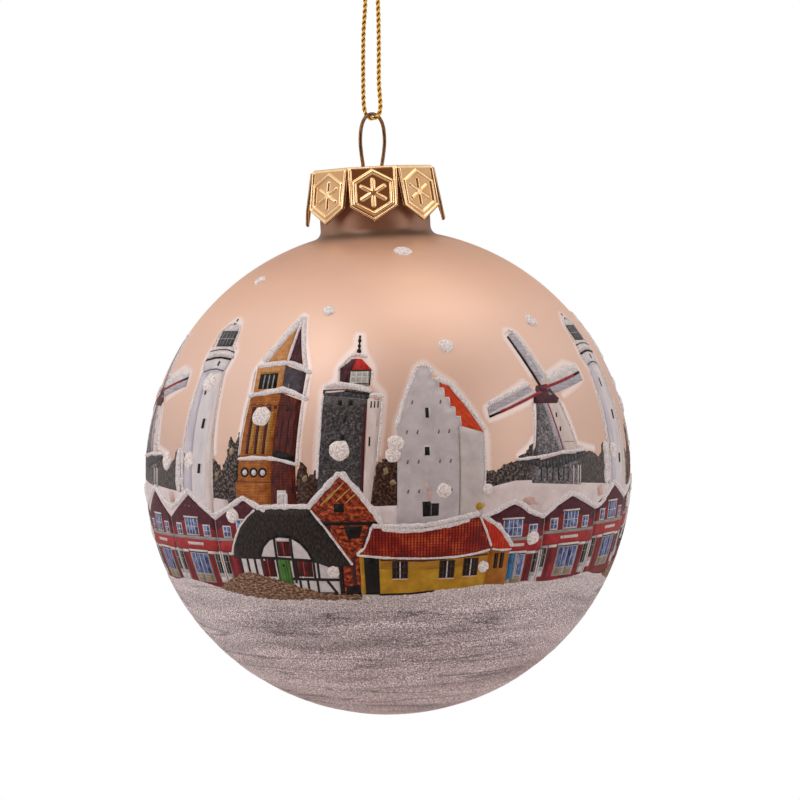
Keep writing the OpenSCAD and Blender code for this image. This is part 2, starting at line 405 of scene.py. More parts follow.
def add_knot(material):
    """An overhand knot: both strands wrap round themselves, and two trimmed ends stand out of the top."""
    bm = bmesh.new()
    # This layer carries the thread's painted shade and highlight.
    crown = bm.verts.layers.float.new("crown")
    middle, height, wrap_r, turns = Vector((0.8, 0, 0)), 3.2, 0.98, 2.1
    for strand in range(2):
        start = math.pi * strand
        wraps = []
        for i in range(41):
            t = i / 40
            a = start + 2 * math.pi * turns * t
            rise = 0.45 + (height - 0.9) * t
            wraps.append(middle + Vector((wrap_r * math.cos(a), wrap_r * math.sin(a), rise)))
        side = Vector((math.cos(start), math.sin(start), 0)) * 0.4
        inside = [middle + side + Vector((0, 0, z)) for z in (0.0, 0.35)]
        twisted(bm, crown, catmull(inside + wraps[2:-2], 3), phase=strand)
        lean = math.radians(12)
        way = math.radians(40 + 180 * strand)
        out = Vector((math.cos(way) * math.sin(lean), math.sin(way) * math.sin(lean), math.cos(lean)))
        base = middle + 0.4 * Vector((math.cos(way), math.sin(way), 0))
        mouth = base + Vector((0, 0, height - 0.4))
        tail = [base + Vector((0, 0, 1.0))] + [mouth + out * d for d in (0, 1.6, 3.4, 4.9)]
        twisted(bm, crown, catmull(tail, 4), phase=1 + strand)
        fray(bm, crown, tail[-1], out, 7 + strand)
    knot = mesh_object("cord_knot_thread", bm, [material])
    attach(knot, "cord")
    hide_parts("cord_knot")
    return knot


def fray(bm, crown, at, way, seed):
    """A few loose fibres at a cut end."""
    rand = random.Random(seed)
    for _ in range(14):
        lean = Vector((rand.uniform(-1, 1), rand.uniform(-1, 1), 0)) * 0.35
        start = at + Vector((rand.uniform(-0.2, 0.2), rand.uniform(-0.2, 0.2), -0.3))
        before = len(bm.verts)
        tube(
            bm, [start, start + way * 0.5 + lean * 0.4, start + way * rand.uniform(0.7, 1.1) + lean],
            0.035, 5
        )
        # The loose fibres get one middle level of the painted shade.
        bm.verts.ensure_lookup_table()
        for v in bm.verts[before:]:
            v[crown] = 0.8


add_cord(gold_thread())

# ------------------------------------------------------------------ hanger wire

WIRE_R = 0.3
WIRE_TURN, WIRE_LEAN = math.radians(60), math.radians(3)
CAP_TOP = -44.275
WIRE_HALF = [
    (6.2, -17), (6.9, -15.5), (7.4, -12.5), (7.3, -9.5), (6.6, -6.2), (5.4, -3.2), (4.2, -1.3), (3.2, -0.5),
    (3.1, 0.6), (3.6, 2.4), (3.95, 4.6), (3.5, 7), (2.1, 8.5), (0, 9),
]


def add_wire(material):
    half = [(-u, h) for u, h in WIRE_HALF] + [(u, h) for u, h in WIRE_HALF[-2::-1]]
    points = [
        (u * math.cos(WIRE_TURN) + max(h, 0) * math.tan(WIRE_LEAN), u * math.sin(WIRE_TURN), CAP_TOP + h)
        for u, h in half
    ]
    bm = bmesh.new()
    tube(bm, catmull(points, 10), WIRE_R, 16)
    wire = mesh_object("hanger_spring_wire", bm, [material])
    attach(wire, "hanger")
    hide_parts("hanger_wire")


add_wire(bronze_wire())

# ------------------------------------------------------------------ stamped cap

PETALS, CROWN_R, SHEET = 8, 9.9, 0.35
PETAL_W, PETAL_LEN, SHOULDER = 8.2, 8.6, 6.1
FLARE = math.radians(9.5)
BEND_R = 0.55
HEX_R, HEX_Y, BAR_LEN = 3.85, -3.87, 4.8


def soft_band(distance, half_width, edge=0.16):
    """1 inside a band and 0 outside, with rounded sides."""
    t = (half_width + edge - abs(distance)) / (2 * edge)
    t = min(1.0, max(0.0, t))
    return t * t * (3 - 2 * t)


def hexagon_distance(x, y, radius):
    """Distance to a hexagon that stands on a corner, negative inside."""
    apothem = radius * math.cos(math.pi / 6)
    return max(
        abs(x * math.cos(a) + y * math.sin(a)) for a in (0, math.pi / 3, 2 * math.pi / 3)
    ) - apothem


def relief(x, y, edge):
    """Stamped height of a petal at x across and y along it; edge is the distance to its outline."""
    yy = y - HEX_Y
    height = soft_band(edge - 0.28, 0.2)
    height = max(height, soft_band(hexagon_distance(x, yy, HEX_R) + 0.3, 0.24))
    for turn in (30, 90, 150):
        a = math.radians(turn)
        along, across = x * math.cos(a) + yy * math.sin(a), -x * math.sin(a) + yy * math.cos(a)
        reach = soft_band(along, BAR_LEN / 2 - 0.1, 0.2)
        height = max(height, soft_band(across, 0.22) * reach)
    dish = 0.35 * max(0.0, 1 - (x * x + yy * yy) / 12.0)
    return height + 0.25 * dish


def petal_point(x, y, lift, turn):
    """A point of a petal: x across, y down from the bend (negative), lift off its face."""
    wave = 0.05 * math.sin(x * 0.9 + turn * 5) * (-y / PETAL_LEN)
    out = CROWN_R + math.sin(FLARE) * -y + math.cos(FLARE) * (lift + wave)
    z = CAP_TOP - BEND_R + math.cos(FLARE) * y + math.sin(FLARE) * lift
    p = Vector((x, -out, z))
    return Matrix.Rotation(turn, 3, "Z") @ p


def petal_rows(side, turn, columns=52, rows=54):
    """Rows of points over one face of a petal, from the bend to its pointed end, and the painted shade of
    each point, more where the stamping is low.

    side is 1 for the outer face and 0 for the inner one.
    """
    w = PETAL_W / 2
    table, recess_shades = [], []
    for j in range(rows + 1):
        row, recess_shade = [], []
        for i in range(columns + 1):
            u = -1 + 2 * i / columns
            bottom = -SHOULDER - (PETAL_LEN - SHOULDER) * (1 - abs(u))
            y = bottom * j / rows
            # The sides narrow a little towards the shoulder, as a cut strip does.
            x = u * (w - 0.05 - 0.12 * j / rows)
            flank = w - 0.1 - abs(x)
            slant = (y - (-SHOULDER - (PETAL_LEN - SHOULDER) * (1 - abs(x) / w))) * 0.85
            edge = min(flank, slant)
            h = relief(x, y, edge)
            lift = 0.3 * h if side else 0.22 * h - SHEET
            row.append(petal_point(x, y, lift, turn))
            # Painted shade grows as the stamped relief falls.
            recess_shade.append(1 - min(1.0, h))
        table.append(row)
        recess_shades.append(recess_shade)
    return table, recess_shades


def shoulder_rows(front, side, turn, steps=5):
    """Rows that round the bend from the flat top to a petal's first row."""
    rows = []
    radius = BEND_R if side else BEND_R - SHEET
    for k in range(steps):
        a = math.pi / 2 * k / steps
        out = CROWN_R - BEND_R + radius * math.sin(a)
        z = CAP_TOP - BEND_R + radius * math.cos(a)
        row = []
        for i in range(len(front)):
            x = (-1 + 2 * i / (len(front) - 1)) * (out * math.tan(math.pi / PETALS) - 0.02)
            row.append(Matrix.Rotation(turn, 3, "Z") @ Vector((x, -out, z)))
        rows.append(row)
    return rows


def add_cap(material):
    bm = bmesh.new()
    # This layer holds the painted shade of the stamping.
    recess_shade = bm.verts.layers.float.new("recess_shade")
    rims = {0: [], 1: []}
    for k in range(PETALS):
        turn = 2 * math.pi * k / PETALS
        faces = {}
        for side in (1, 0):
            table, depths = petal_rows(side, turn)
            bend = shoulder_rows(table[0], side, turn)
            verts = [[bm.verts.new(p) for p in row] for row in bend + table]
            # The outer face takes its painted shade from the stamped relief; the inner face gets an even 0.3
            # of it.
            for row, depth in zip(verts[len(bend) :], depths):
                for v, d in zip(row, depth):
                    v[recess_shade] = d if side else 0.3
            for a, b in zip(verts, verts[1:]):
                for i in range(len(a) - 1):
                    quad = (a[i], b[i], b[i + 1], a[i + 1])
                    bm.faces.new(quad if side else quad[::-1])
            faces[side] = verts
            rims[side].append(verts[0])
        border = []
        for side in (1, 0):
            left, right = [row[0] for row in faces[side]], [row[-1] for row in faces[side]]
            border.append(left + faces[side][-1][1:-1] + right[::-1])
        for i in range(len(border[0]) - 1):
            bm.faces.new((border[0][i], border[0][i + 1], border[1][i + 1], border[1][i]))
    add_plate(bm, rims)
    cap = mesh_object("crown_cap_stamped", bm, [material])
    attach(cap, "cap")
    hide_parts("crown_cap")


def slot_outline(turn, z, steps=8):
    """The outline of a slot for one leg of the wire."""
    half, inner, outer = 0.55, 2.75, 3.95
    spin = Matrix.Rotation(turn, 3, "Z")
    arc = [math.pi * k / steps for k in range(steps + 1)]
    right = [Vector((outer + half * math.sin(a), -half * math.cos(a), z)) for a in arc]
    left = [Vector((inner - half * math.sin(a), half * math.cos(a), z)) for a in arc]
    return [spin @ p for p in right + left]


def add_plate(bm, rims):
    """The flat top between the bends, with its two slots."""
    slots = {}
    for side in (1, 0):
        z = CAP_TOP if side else CAP_TOP - SHEET
        loops = [[v for row in rims[side] for v in row]]
        slots[side] = [[bm.verts.new(p) for p in slot_outline(WIRE_TURN + turn, z)] for turn in (0, math.pi)]
        edges = []
        for loop in loops + slots[side]:
            for a, b in zip(loop, loop[1:] + loop[:1]):
                edges.append(bm.edges.get((a, b)) or bm.edges.new((a, b)))
        bmesh.ops.triangle_fill(bm, edges=edges, use_beauty=True, normal=(0, 0, 1 if side else -1))
    for top, bottom in zip(slots[1], slots[0]):
        for i in range(len(top)):
            j = (i + 1) % len(top)
            bm.faces.new((top[i], top[j], bottom[j], bottom[i]))


add_cap(stamped_gold())

# ------------------------------------------------------------------ glass ball

NECK_R, BORE_R, GLASS, NECK_TOP, BLEND = 9.1, 8.3, 0.8, 49.55, 1.5


def pearl_colour(n):
    """Rose-beige pearl: painted shade darkens it towards the neck and makes a thin dark band where the neck
    meets the ball; the neck's brown is partly its own colour and partly painted shade.
    """
    # Painted shade: darker from 0.8 up, darkest in a thin band at the join of neck and ball.
    body = n.ramp(
        n.height(CENTRE.z - R, CENTRE.z + NECK_TOP),
        [(0.0, "c4a598"), (0.52, "c8aca2"), (0.66, "e2c3b7"), (0.74, "e6c2b0"), (0.8, "dcb09a"),
         (0.868, "b88870"), (0.883, "2c1106"), (0.893, "6a2806"), (0.93, "883c14"), (1.0, "9a5a38")],
    )
    clouds = n.noise(n.coords((1, 1, 1.3)), 0.09, 3.0)
    return n.mix(n.range(clouds, 0.0, 0.4), body, rgb("f0c9a6"))


PEARL = {"Metallic": 0.3, "Coat_Weight": 0.1, "Coat_Roughness": 0.35, "IOR": 1.35}


def pearl_glass():
    """Pearl lacquer on glass, with the fine grain of its pigment."""
    n = Nodes("pearl_glass")
    at = n.coords()
    specks = n.noise(at, 6.0, 2.0)
    colour = n.mix(n.range(specks, 0.0, 0.12), pearl_colour(n), rgb("f4e2d4"))
    return n.finish(colour, n.range(n.noise(at, 0.6), 0.34, 0.46), n.bump(specks, 0.004), **PEARL)


def ball_profile():
    """Radius and height of the outer and then the inner wall, from the bottom up and back down."""
    blend_z = math.sqrt((R + BLEND) ** 2 - (NECK_R + BLEND) ** 2)
    join = math.atan2(blend_z, NECK_R + BLEND)
    outer = []
    rows = 110
    for i in range(rows + 1):
        a = -math.pi / 2 + (join + math.pi / 2) * i / rows
        outer.append((max(R * math.cos(a), 0.0), R * math.sin(a)))
    for i in range(1, 9):
        a = join + math.pi + (math.pi - join - math.pi) * i / 8
        outer.append((NECK_R + BLEND + BLEND * math.cos(a), blend_z + BLEND * math.sin(a)))
    lip = GLASS / 2
    outer += [(NECK_R, blend_z + 3.0), (NECK_R, NECK_TOP - lip - 2.0)]
    for i in range(9):
        a = math.pi * i / 8
        outer.append((BORE_R + lip + lip * math.cos(a), NECK_TOP - lip + lip * math.sin(a)))
    inner_r = R - GLASS
    inner_join = math.asin(BORE_R / inner_r)
    inner = []
    for i in range(61):
        a = math.pi / 2 - inner_join - (math.pi - inner_join) * i / 60
        inner.append((max(inner_r * math.cos(a), 0.0), inner_r * math.sin(a)))
    return outer + inner


def lathe(bm, profile, segments):
    """Turns a profile of (radius, height) pairs round the Z axis; zero radius closes to a point."""
    rings = []
    for radius, height in profile:
        if radius < 1e-6:
            rings.append([bm.verts.new((0, 0, height))])
        else:
            turns = [2 * math.pi * k / segments for k in range(segments)]
            rings.append([bm.verts.new((radius * math.cos(a), radius * math.sin(a), height)) for a in turns])
    for a, b in zip(rings, rings[1:]):
        for k in range(segments):
            j = (k + 1) % segments
            corners = [a[k % len(a)], a[j % len(a)], b[j % len(b)], b[k % len(b)]]
            bm.faces.new(list(dict.fromkeys(corners)))


def add_ball(material):
    bm = bmesh.new()
    lathe(bm, ball_profile(), 192)
    bm.transform(Matrix.Translation(CENTRE))
    ball = mesh_object("glass_ball_blown", bm, [material])
    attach(ball, "ball")
    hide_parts("glass_ball")


add_ball(pearl_glass())

# ------------------------------------------------------------------ paint tools

COAT = 0.017  # how far each coat of the print lies over the one under it
SUNK = -0.015  # how deep the rim of a coat is set into the glass
CELL = 1.4  # largest cell of a patch
FLAT = R * math.pi / 180  # millimetres along the middle of the ball for one degree


def on_ball(az, z, lift=0.0):
    """A point of the band: az degrees to the right of the front, z over the ball's middle."""
    a, flat = math.radians(az), math.sqrt(max(0.0, R * R - z * z))
    return Vector((flat * math.sin(a), -flat * math.cos(a), z)) * ((R + lift) / R)


def trail(points):
    """The points on the ball, with more between them so that straight runs of the drawing stay straight."""
    line = []
    for (a, b), (c, d) in zip(points, points[1:]):
        count = max(1, math.ceil(math.hypot((c - a) * FLAT, d - b) / 0.8))
        line += [on_ball(a + (c - a) * k / count, b + (d - b) * k / count) for k in range(count)]
    return line + [on_ball(*points[-1])]


class Paint:
    """One painted piece, gathered from flat patches, raised beads and blobs."""

    def __init__(self, name, seed=1, base=0):
        self.name, self.bm, self.finishes, self.base = name, bmesh.new(), [], base
        self.uv = self.bm.loops.layers.uv.new("flat")
        self.edge = self.bm.verts.layers.float.new("edge")
        self.rand = random.Random(seed)

    def index(self, finish):
        if finish not in self.finishes:
            self.finishes.append(finish)
        return self.finishes.index(finish)

    def patch(self, points, finish, coat):
        """A flat patch with that outline; the drawing is cut into cells so that it follows the ball."""
        area = sum(a * d - c * b for (a, b), (c, d) in zip(points, points[1:] + points[:1]))
        flat = bmesh.new()
        flat.faces.new(
            [flat.verts.new((az * FLAT, z, 0)) for az, z in (points if area > 0 else points[::-1])]
        )
        for axis in (0, 1):
            values = [v.co[axis] for v in flat.verts]
            low, high = min(values), max(values)
            count = int((high - low) / CELL) + 1
            normal = Vector((1 - axis, axis, 0))
            for k in range(1, count):
                everything = flat.verts[:] + flat.edges[:] + flat.faces[:]
                where = normal * (low + (high - low) * k / count)
                bmesh.ops.bisect_plane(flat, geom=everything, plane_co=where, plane_no=normal, dist=1e-5)
        made, number = {}, self.index(finish)
        for v in flat.verts:
            made[v] = self.bm.verts.new(on_ball(v.co.x / FLAT, v.co.y, (self.base + coat) * COAT))
        for face in flat.faces:
            self.face([made[v] for v in face.verts], number, [v.co.xy for v in face.verts])
        low = {}
        for e in flat.edges:
            if len(e.link_faces) == 1:
                a, b = (loop.vert for loop in (e.link_loops[0], e.link_loops[0].link_loop_next))
                for v in (a, b):
                    if v not in low:
                        low[v] = self.bm.verts.new(on_ball(v.co.x / FLAT, v.co.y, SUNK))
                self.face([made[b], made[a], low[a], low[b]], number, [b.co.xy, a.co.xy, a.co.xy, b.co.xy])
        flat.free()

    def face(self, verts, number, flat=None):
        try:
            face = self.bm.faces.new(verts)
        except ValueError:
            return
        face.material_index = number
        if flat is not None:
            for loop, at in zip(face.loops, flat):
                loop[self.uv].uv = at

    def box(self, az, z, width, height, finish, coat):
        """An upright rectangle centred on (az, z); its width is in degrees."""
        w, h = width / 2, height / 2
        self.patch([(az - w, z - h), (az + w, z - h), (az + w, z + h), (az - w, z + h)], finish, coat)

    def line(self, points, width, finish, coat):
        """A thin painted line of that width in millimetres, in straight runs."""
        for (a, b), (c, d) in zip(points, points[1:]):
            x, y = (c - a) * FLAT, d - b
            length = math.hypot(x, y) or 1.0
            sx, sy = -y / length * width / 2 / FLAT, x / length * width / 2
            self.patch([(a + sx, b + sy), (a - sx, b - sy), (c - sx, d - sy), (c + sx, d + sy)], finish, coat)

    def bead(self, points, width, height, finish):
        """A raised, uneven stripe of thick paint along the points."""
        wobble, across = 0.22, 7
        line = even(trail(points), 0.33)
        number, shift = self.index(finish), Vector((self.rand.uniform(0, 90), 0, 0))
        rings = []
        walked = [0.0]
        for a, b in zip(line, line[1:]):
            walked.append(walked[-1] + (b - a).length)
        for i, p in enumerate(line):
            ahead = (line[min(i + 1, len(line) - 1)] - line[max(i - 1, 0)]).normalized()
            up = p.normalized()
            side = ahead.cross(up).normalized()
            end = min(walked[i], walked[-1] - walked[i]) / (width * 0.5)
            taper = math.sqrt(max(0.06, 1 - max(0.0, 1 - end) ** 2))
            half = 0.5 * width * taper * (1 + wobble * noise.noise(p * 0.9 + shift) * 2)
            ring = []
            for k in range(across):
                c = -1 + 2 * k / (across - 1)
                at = p + side * (c * half * (1 + 0.12 * noise.noise(p * 2.3 + shift * 2 + Vector((c, 0, 0)))))
                swell = math.sqrt(max(0.0, 1 - c * c)) * (1 + 0.4 * noise.noise(at * 1.7 + shift))
                grain = 0.03 * noise.noise(at * 5.0 + shift) if 0 < k < across - 1 else 0.0
                ring.append((at.normalized() * (R + SUNK + (height - SUNK) * swell * taper + grain), abs(c)))
            rings.append(ring)
        verts = []
        for ring in rings:
            row = []
            for p, c in ring:
                v = self.bm.verts.new(p)
                v[self.edge] = c
                row.append(v)
            verts.append(row)
        for a, b in zip(verts, verts[1:]):
            for k in range(across - 1):
                self.face([a[k], a[k + 1], b[k + 1], b[k]], number)

    def ribbon(self, points, width, finish, coat):
        """A flat band of thin paint along the points; edge runs from 0 in its middle to 1 at its rims."""
        across = 9
        line = even(trail(points), 0.8)
        number, rows = self.index(finish), []
        for i, p in enumerate(line):
            ahead = (line[min(i + 1, len(line) - 1)] - line[max(i - 1, 0)]).normalized()
            side = ahead.cross(p.normalized()).normalized()
            row = []
            for k in range(across):
                c = -1 + 2 * k / (across - 1)
                at = p + side * (c * width / 2)
                v = self.bm.verts.new(at.normalized() * (R + (SUNK if abs(c) == 1 else coat * COAT)))
                v[self.edge] = max(abs(c), 1 if i in (0, len(line) - 1) else 0)
                row.append(v)
            rows.append(row)
        for a, b in zip(rows, rows[1:]):
            for k in range(across - 1):
                self.face([a[k], a[k + 1], b[k + 1], b[k]], number)

    def blob(self, az, z, radius, height, finish):
        """A domed drop of thick paint."""
        rings, sides, unevenness = 7, 26, 0.08
        middle = on_ball(az, z)
        up = middle.normalized()
        right = Vector((0, 0, 1)).cross(up).normalized()
        top, number = up.cross(right), self.index(finish)
        shift = Vector((0, self.rand.uniform(0, 90), 0))
        rows = []
        for j in range(rings + 1):
            t = j / rings
            row = []
            for k in range(sides if j else 1):
                a = 2 * math.pi * k / sides
                out = right * math.cos(a) + top * math.sin(a)
                r = radius * t * (1 + unevenness * 2 * noise.noise(out * 1.6 + shift))
                at = middle + out * r
                grain = 0.06 * noise.noise(at * 3.1 + shift) + 0.03 * noise.noise(at * 8.0 + shift)
                lift = SUNK if j == rings else height * math.sqrt(1 - t**2.6) + grain
                v = self.bm.verts.new(at.normalized() * (R + max(lift, SUNK)))
                v[self.edge] = t
                row.append(v)
            rows.append(row)
        for a, b in zip(rows, rows[1:]):
            for k in range(sides):
                j = (k + 1) % sides
                corners = [a[k % len(a)], b[k], b[j], a[j % len(a)]]
                self.face(list(dict.fromkeys(corners)), number)

    def repeat(self):
        """Copies what is drawn so far to the other turns of the picture."""
        drawn = self.bm.verts[:] + self.bm.edges[:] + self.bm.faces[:]
        for turn in TURNS[1:]:
            copy = bmesh.ops.duplicate(self.bm, geom=drawn)["geom"]
            spin = Matrix.Rotation(math.radians(turn), 3, "Z")
            bmesh.ops.rotate(
                self.bm, verts=[g for g in copy if isinstance(g, bmesh.types.BMVert)], matrix=spin
            )

    def done(self, palette, replaces=()):
        self.bm.transform(BAND)
        obj = mesh_object(self.name, self.bm, [palette[f] for f in self.finishes])
        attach(obj, "ball")
        if replaces:
            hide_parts(*replaces)
        return obj


# ------------------------------------------------------------------ paint colours


def snow_paint(name, shadow, body, bright, depth=0.05, grain_scale=5.5):
    """Thick grainy white with fine glitter in it: painted shade in the dips of the grain, a painted highlight
    on its tops, and white specks of painted glint for the glitter.
    """
    n = Nodes(name)
    at = n.coords()
    grain = n.noise(at, grain_scale, 3.0, 0.8)
    # Painted shade in the grain's dips and a painted highlight on its tops; the grain also sets the bump.
    colour = n.ramp(grain, [(0.36, shadow), (0.5, body), (0.6, bright)])
    # White specks of painted glint for the glitter.
    colour = n.mix(n.range(n.glints(at, 4.5), 0.0, 0.6), colour, rgb("ffffff"))
    return n.finish(colour, n.range(grain, 0.35, 0.7), n.bump(grain, depth), Specular_IOR_Level=0.6)


def halo_paint():
    """Thin white under-print that fades into the pearl at its rim."""
    n = Nodes("halo")
    edge = n.attribute("edge")
    grain = n.noise(n.coords(), 2.6, 5.0, 0.7)
    cover = n.ramp(
        n.product(edge, n.range(grain, 0.6, 1.5)), [(0.15, grey(0.85)), (0.5, grey(0.5)), (0.9, BLACK)]
    )
    colour = n.mix(cover, pearl_colour(n), rgb("efe4e2"))
    return n.finish(colour, n.range(grain, 0.36, 0.5), n.bump(grain, 0.02), **PEARL)


PALETTE = {
    "dot": snow_paint("dot", "b9aead", "e4dcdc", "ffffff", 0.12, 3.4),
    "snow": snow_paint("snow", "aaa5ab", "d9d5da", "f8f6f8", 0.08),
    "halo": halo_paint(),
}

# ------------------------------------------------------------------ snow ground and dots

DOT_H = 0.35
DOTS = [
    (10, 36, 1.5), (-17, 26.7, 1), (16, 21, 1.25), (-30, 10.6, 1.65), (-10.6, 5.4, 1.65), (2, 6.4, 1.3),
    (1.4, 4.6, 1.2), (12.5, -1, 1.2), (22.6, -1, 0.9), (35, -9, 1.25), (22.6, -13, 1), (-37.5, -4.8, 1.3),
    (-13, -13.3, 1.05), (65, 3.6, 1.4),
]

# Snow dots that are on the ball only once.
SINGLE_DOTS = [
    (-55, 31.7, 1.1), (47, 24.6, 1.2), (-49, 15.7, 1.6), (-61.8, 3.2, 1.5), (170, 30, 1.2), (-176, 15, 1.3),
    (-140, 28.5, 1.1), (140, 25, 1.2), (112, 29, 1),
]


def glitter_snow():
    """Grey-mauve snow: coarse grains with painted shade in their dips and painted glints on their tops, thin
    dark brush strokes, a pinker underside and white specks of painted glint.
    """
    n = Nodes("glitter_snow")
    at = n.coords()
    brushed = n.attribute("stroke")
    colour = n.ramp(brushed, [(0.1, "958d90"), (0.45, "bdb5b9"), (0.8, "d6ced2")])
    rosy = n.product(n.range(n.noise(at, 0.1), 0.1, 1.0), n.height(CENTRE.z - 22, CENTRE.z - 38))
    colour = n.mix(rosy, colour, rgb("ccb3b4"))
    rim = n.attribute("rim")
    colour = n.mix(n.range(rim, 0.0, 0.85), colour, rgb("d6ced1"))
    grain = n.noise(at, 4.6, 3.0, 0.8)
    # Painted shade and painted glints in the grain: dark in its dips, brighter than white on its tops.
    grain_shade_and_glint = n.ramp(grain, [(0.37, grey(0.06)), (0.47, grey(0.66)), (0.53, (1.18, 1.16, 1.16, 1)),
                          (0.61, (2.6, 2.5, 2.5, 1))])
    colour = n.mix(n.range(rim, 0.9, 0.4), colour, grain_shade_and_glint, "MULTIPLY")
    speckle = n.ramp(grain, [(0.46, WHITE), (0.6, grey(0.55))])
    for scale, spread, patch in ((0.15, 0.026, 0.05), (0.3, 0.028, 0.07), (0.55, 0.026, 0.1)):
        contour = n.noise(n.coords((0.06, 0.06, 1.0)), scale, 2.0, 0.45)
        line = n.ramp(contour, [(0.5 - spread, BLACK), (0.5, WHITE), (0.5 + spread * 0.6, BLACK)])
        where = n.ramp(n.noise(n.coords((0.4, 0.4, 1)), patch, 2.0), [(0.47, BLACK), (0.56, grey(0.8))])
        drawn = n.mix(1.0, n.mix(1.0, line, where, "MULTIPLY"), speckle, "MULTIPLY")
        colour = n.mix(drawn, colour, rgb("2b2526"))
    # White specks of painted glint for the glitter.
    colour = n.mix(n.range(n.glints(at, 2.2), 0.0, 0.8), colour, rgb("ffffff"))
    colour = n.mix(n.glints(at, 0.3, 0.04, 0.07), colour, rgb("ffffff"))
    return n.finish(colour, n.range(grain, 0.4, 0.75), n.bump(grain, 0.16), Specular_IOR_Level=0.35)


# Height of the snow's upper edge along one turn of the picture, in degrees and millimetres.
SNOW_LINE = [
    (-60, -15.3), (-46, -16.3), (-37, -17.1), (-28, -17.5), (-15, -17.2), (-8, -16.9), (-4, -16.6),
    (5, -16.5), (13, -16.1), (23, -15.6), (33, -15.7), (45, -15.9), (54, -15.5), (60, -15.3)
]


def ground_edge(az):
    """Height of the snow's upper edge round the ball."""
    away = min(((az - turn + 180) % 360 - 180 for turn in TURNS), key=abs)
    x = min(60, max(-60, away))
    for (a, b), (c, d) in zip(SNOW_LINE, SNOW_LINE[1:]):
        if x <= c:
            t = (x - a) / (c - a)
            break
    return b + (d - b) * t * t * (3 - 2 * t) + 0.08 * math.sin(math.radians(33 * az))


def ground_lift(az, z, down):
    """Thickness of the snow, with its brushed ridges; down is 0 at the edge and 1 at the bottom."""
    p = on_ball(az, z)
    across = Vector((p.x * 0.045, p.y * 0.045, z * 0.55 + 1.3 * noise.noise(p * 0.06)))
    stroke = 0.5 + 0.5 * noise.noise(across) + 0.25 * noise.noise(across * 2.1)
    grain = 0.5 * noise.noise(p * 2.0) + 0.5 * noise.noise(p * 4.3)
    rim = min(1.0, down * 70)
    return rim * (0.14 + 0.13 * stroke + 0.05 * grain), min(1.0, max(0.0, stroke))


def add_ground(material):
    bm = bmesh.new()
    stroke, rim = bm.verts.layers.float.new("stroke"), bm.verts.layers.float.new("rim")
    segments, rows = 560, 92
    rings = []
    for j in range(rows):
        down = j / rows
        ring = []
        for k in range(segments):
            az = 360 * k / segments
            top = math.asin(ground_edge(az) / R)
            z = R * math.sin(top + (-math.pi / 2 - top) * down)
            lift, brushed = ground_lift(az, z, down)
            v = bm.verts.new(on_ball(az, z, SUNK if j == 0 else lift))
            v[stroke] = brushed
            v[rim] = max(0.0, 1 - down * 9)
            ring.append(v)
        rings.append(ring)
    rings.append([bm.verts.new(on_ball(0, -R, 0.2))])
    for a, b in zip(rings, rings[1:]):
        for k in range(segments):
            j = (k + 1) % segments
            corners = [a[j], a[k], b[k % len(b)], b[j % len(b)]]
            bm.faces.new(list(dict.fromkeys(corners)))
    bm.transform(BAND)
    ground = mesh_object("snow_ground_coat", bm, [material])
    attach(ground, "ball")
    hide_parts("snow_ground")


def add_dots():
    dots = Paint("snow_dots_drops", seed=5)
    for az, z, radius in [(az + turn, z, radius) for turn in TURNS for az, z, radius in DOTS] + SINGLE_DOTS:
        dots.blob(az, z, radius, DOT_H, "dot")
    dots.done(PALETTE, ["snow_dots"])


add_ground(glitter_snow())
add_dots()

# ------------------------------------------------------------------ printed colours


PRINT_DENSITY = 0.912


def printed(code):
    return tuple(c * PRINT_DENSITY for c in rgb(code)[:3]) + (1,)


def three_tones(n, value, tones, spread):
    """The middle tone at 0.5 and the others that far to both sides of it."""
    places = (0.5 - spread, 0.5, 0.5 + spread)
    return n.ramp(value, [(place, printed(code)) for place, code in zip(places, tones)])


def ink(name, tones, grain=1.2, stretch=(1, 1), lines=(), bricks=None, stones=None, depth=0.012, spread=0.18):
    """A printed colour: three tones in a grain, with drawn lines, bricks or stones over it where given.

    lines holds (direction, spacing, colour, strength); bricks is (length, height, joint colour); a small
    spread sets the tones off sharply.
    """
    n = Nodes(name)
    at = n.coords(flat=True)
    tone = n.noise(n.coords((stretch[0], stretch[1], 1), flat=True), grain, 5.0, 0.65)
    height = tone
    colour = three_tones(n, tone, tones, spread)
    if stones:
        cells = n.cells(at, stones)
        each = three_tones(n, cells.outputs["Color"], tones, 0.3)
        joint = n.cells(at, stones, feature="DISTANCE_TO_EDGE")
        gap = n.ramp(joint.outputs["Distance"], [(0.02, grey(0.35)), (0.12, WHITE)])
        colour = n.mix(0.5, colour, each)
        colour = n.mix(1.0, colour, gap, "MULTIPLY")
        height = gap
    if bricks:
        wall = n.add("ShaderNodeTexBrick", Scale=1.0, Mortar_Size=0.05, Mortar_Smooth=0.3)
        wall.inputs["Brick Width"].default_value, wall.inputs["Row Height"].default_value = bricks[:2]
        wall.inputs["Color1"].default_value = WHITE
        wall.inputs["Color2"].default_value = grey(0.72)
        wall.inputs["Mortar"].default_value = printed(bricks[2])
        n.link(at, wall.inputs["Vector"])
        colour = n.mix(0.8, colour, wall.outputs["Color"], "MULTIPLY")
        height = wall.outputs["Fac"]
    for way, spacing, shade, strength in lines:
        wave = n.add(
            "ShaderNodeTexWave", bands_direction=way, Scale=0.314 / spacing, Distortion=0.5, Detail=1.5
        )
        n.link(at, wave.inputs["Vector"])
        mask = n.ramp(wave.outputs["Fac"], [(0.15, WHITE), (0.6, BLACK)])
        colour = n.mix(n.range(mask, 0.0, strength), colour, printed(shade))
        height = wave.outputs["Fac"]
    fine = n.noise(at, 9.0, 2.0)
    colour = n.mix(n.range(fine, 0.0, 0.16), colour, rgb("2a2426"))
    return n.finish(colour, n.range(tone, 0.42, 0.6), n.bump(height, depth), Specular_IOR_Level=0.2)


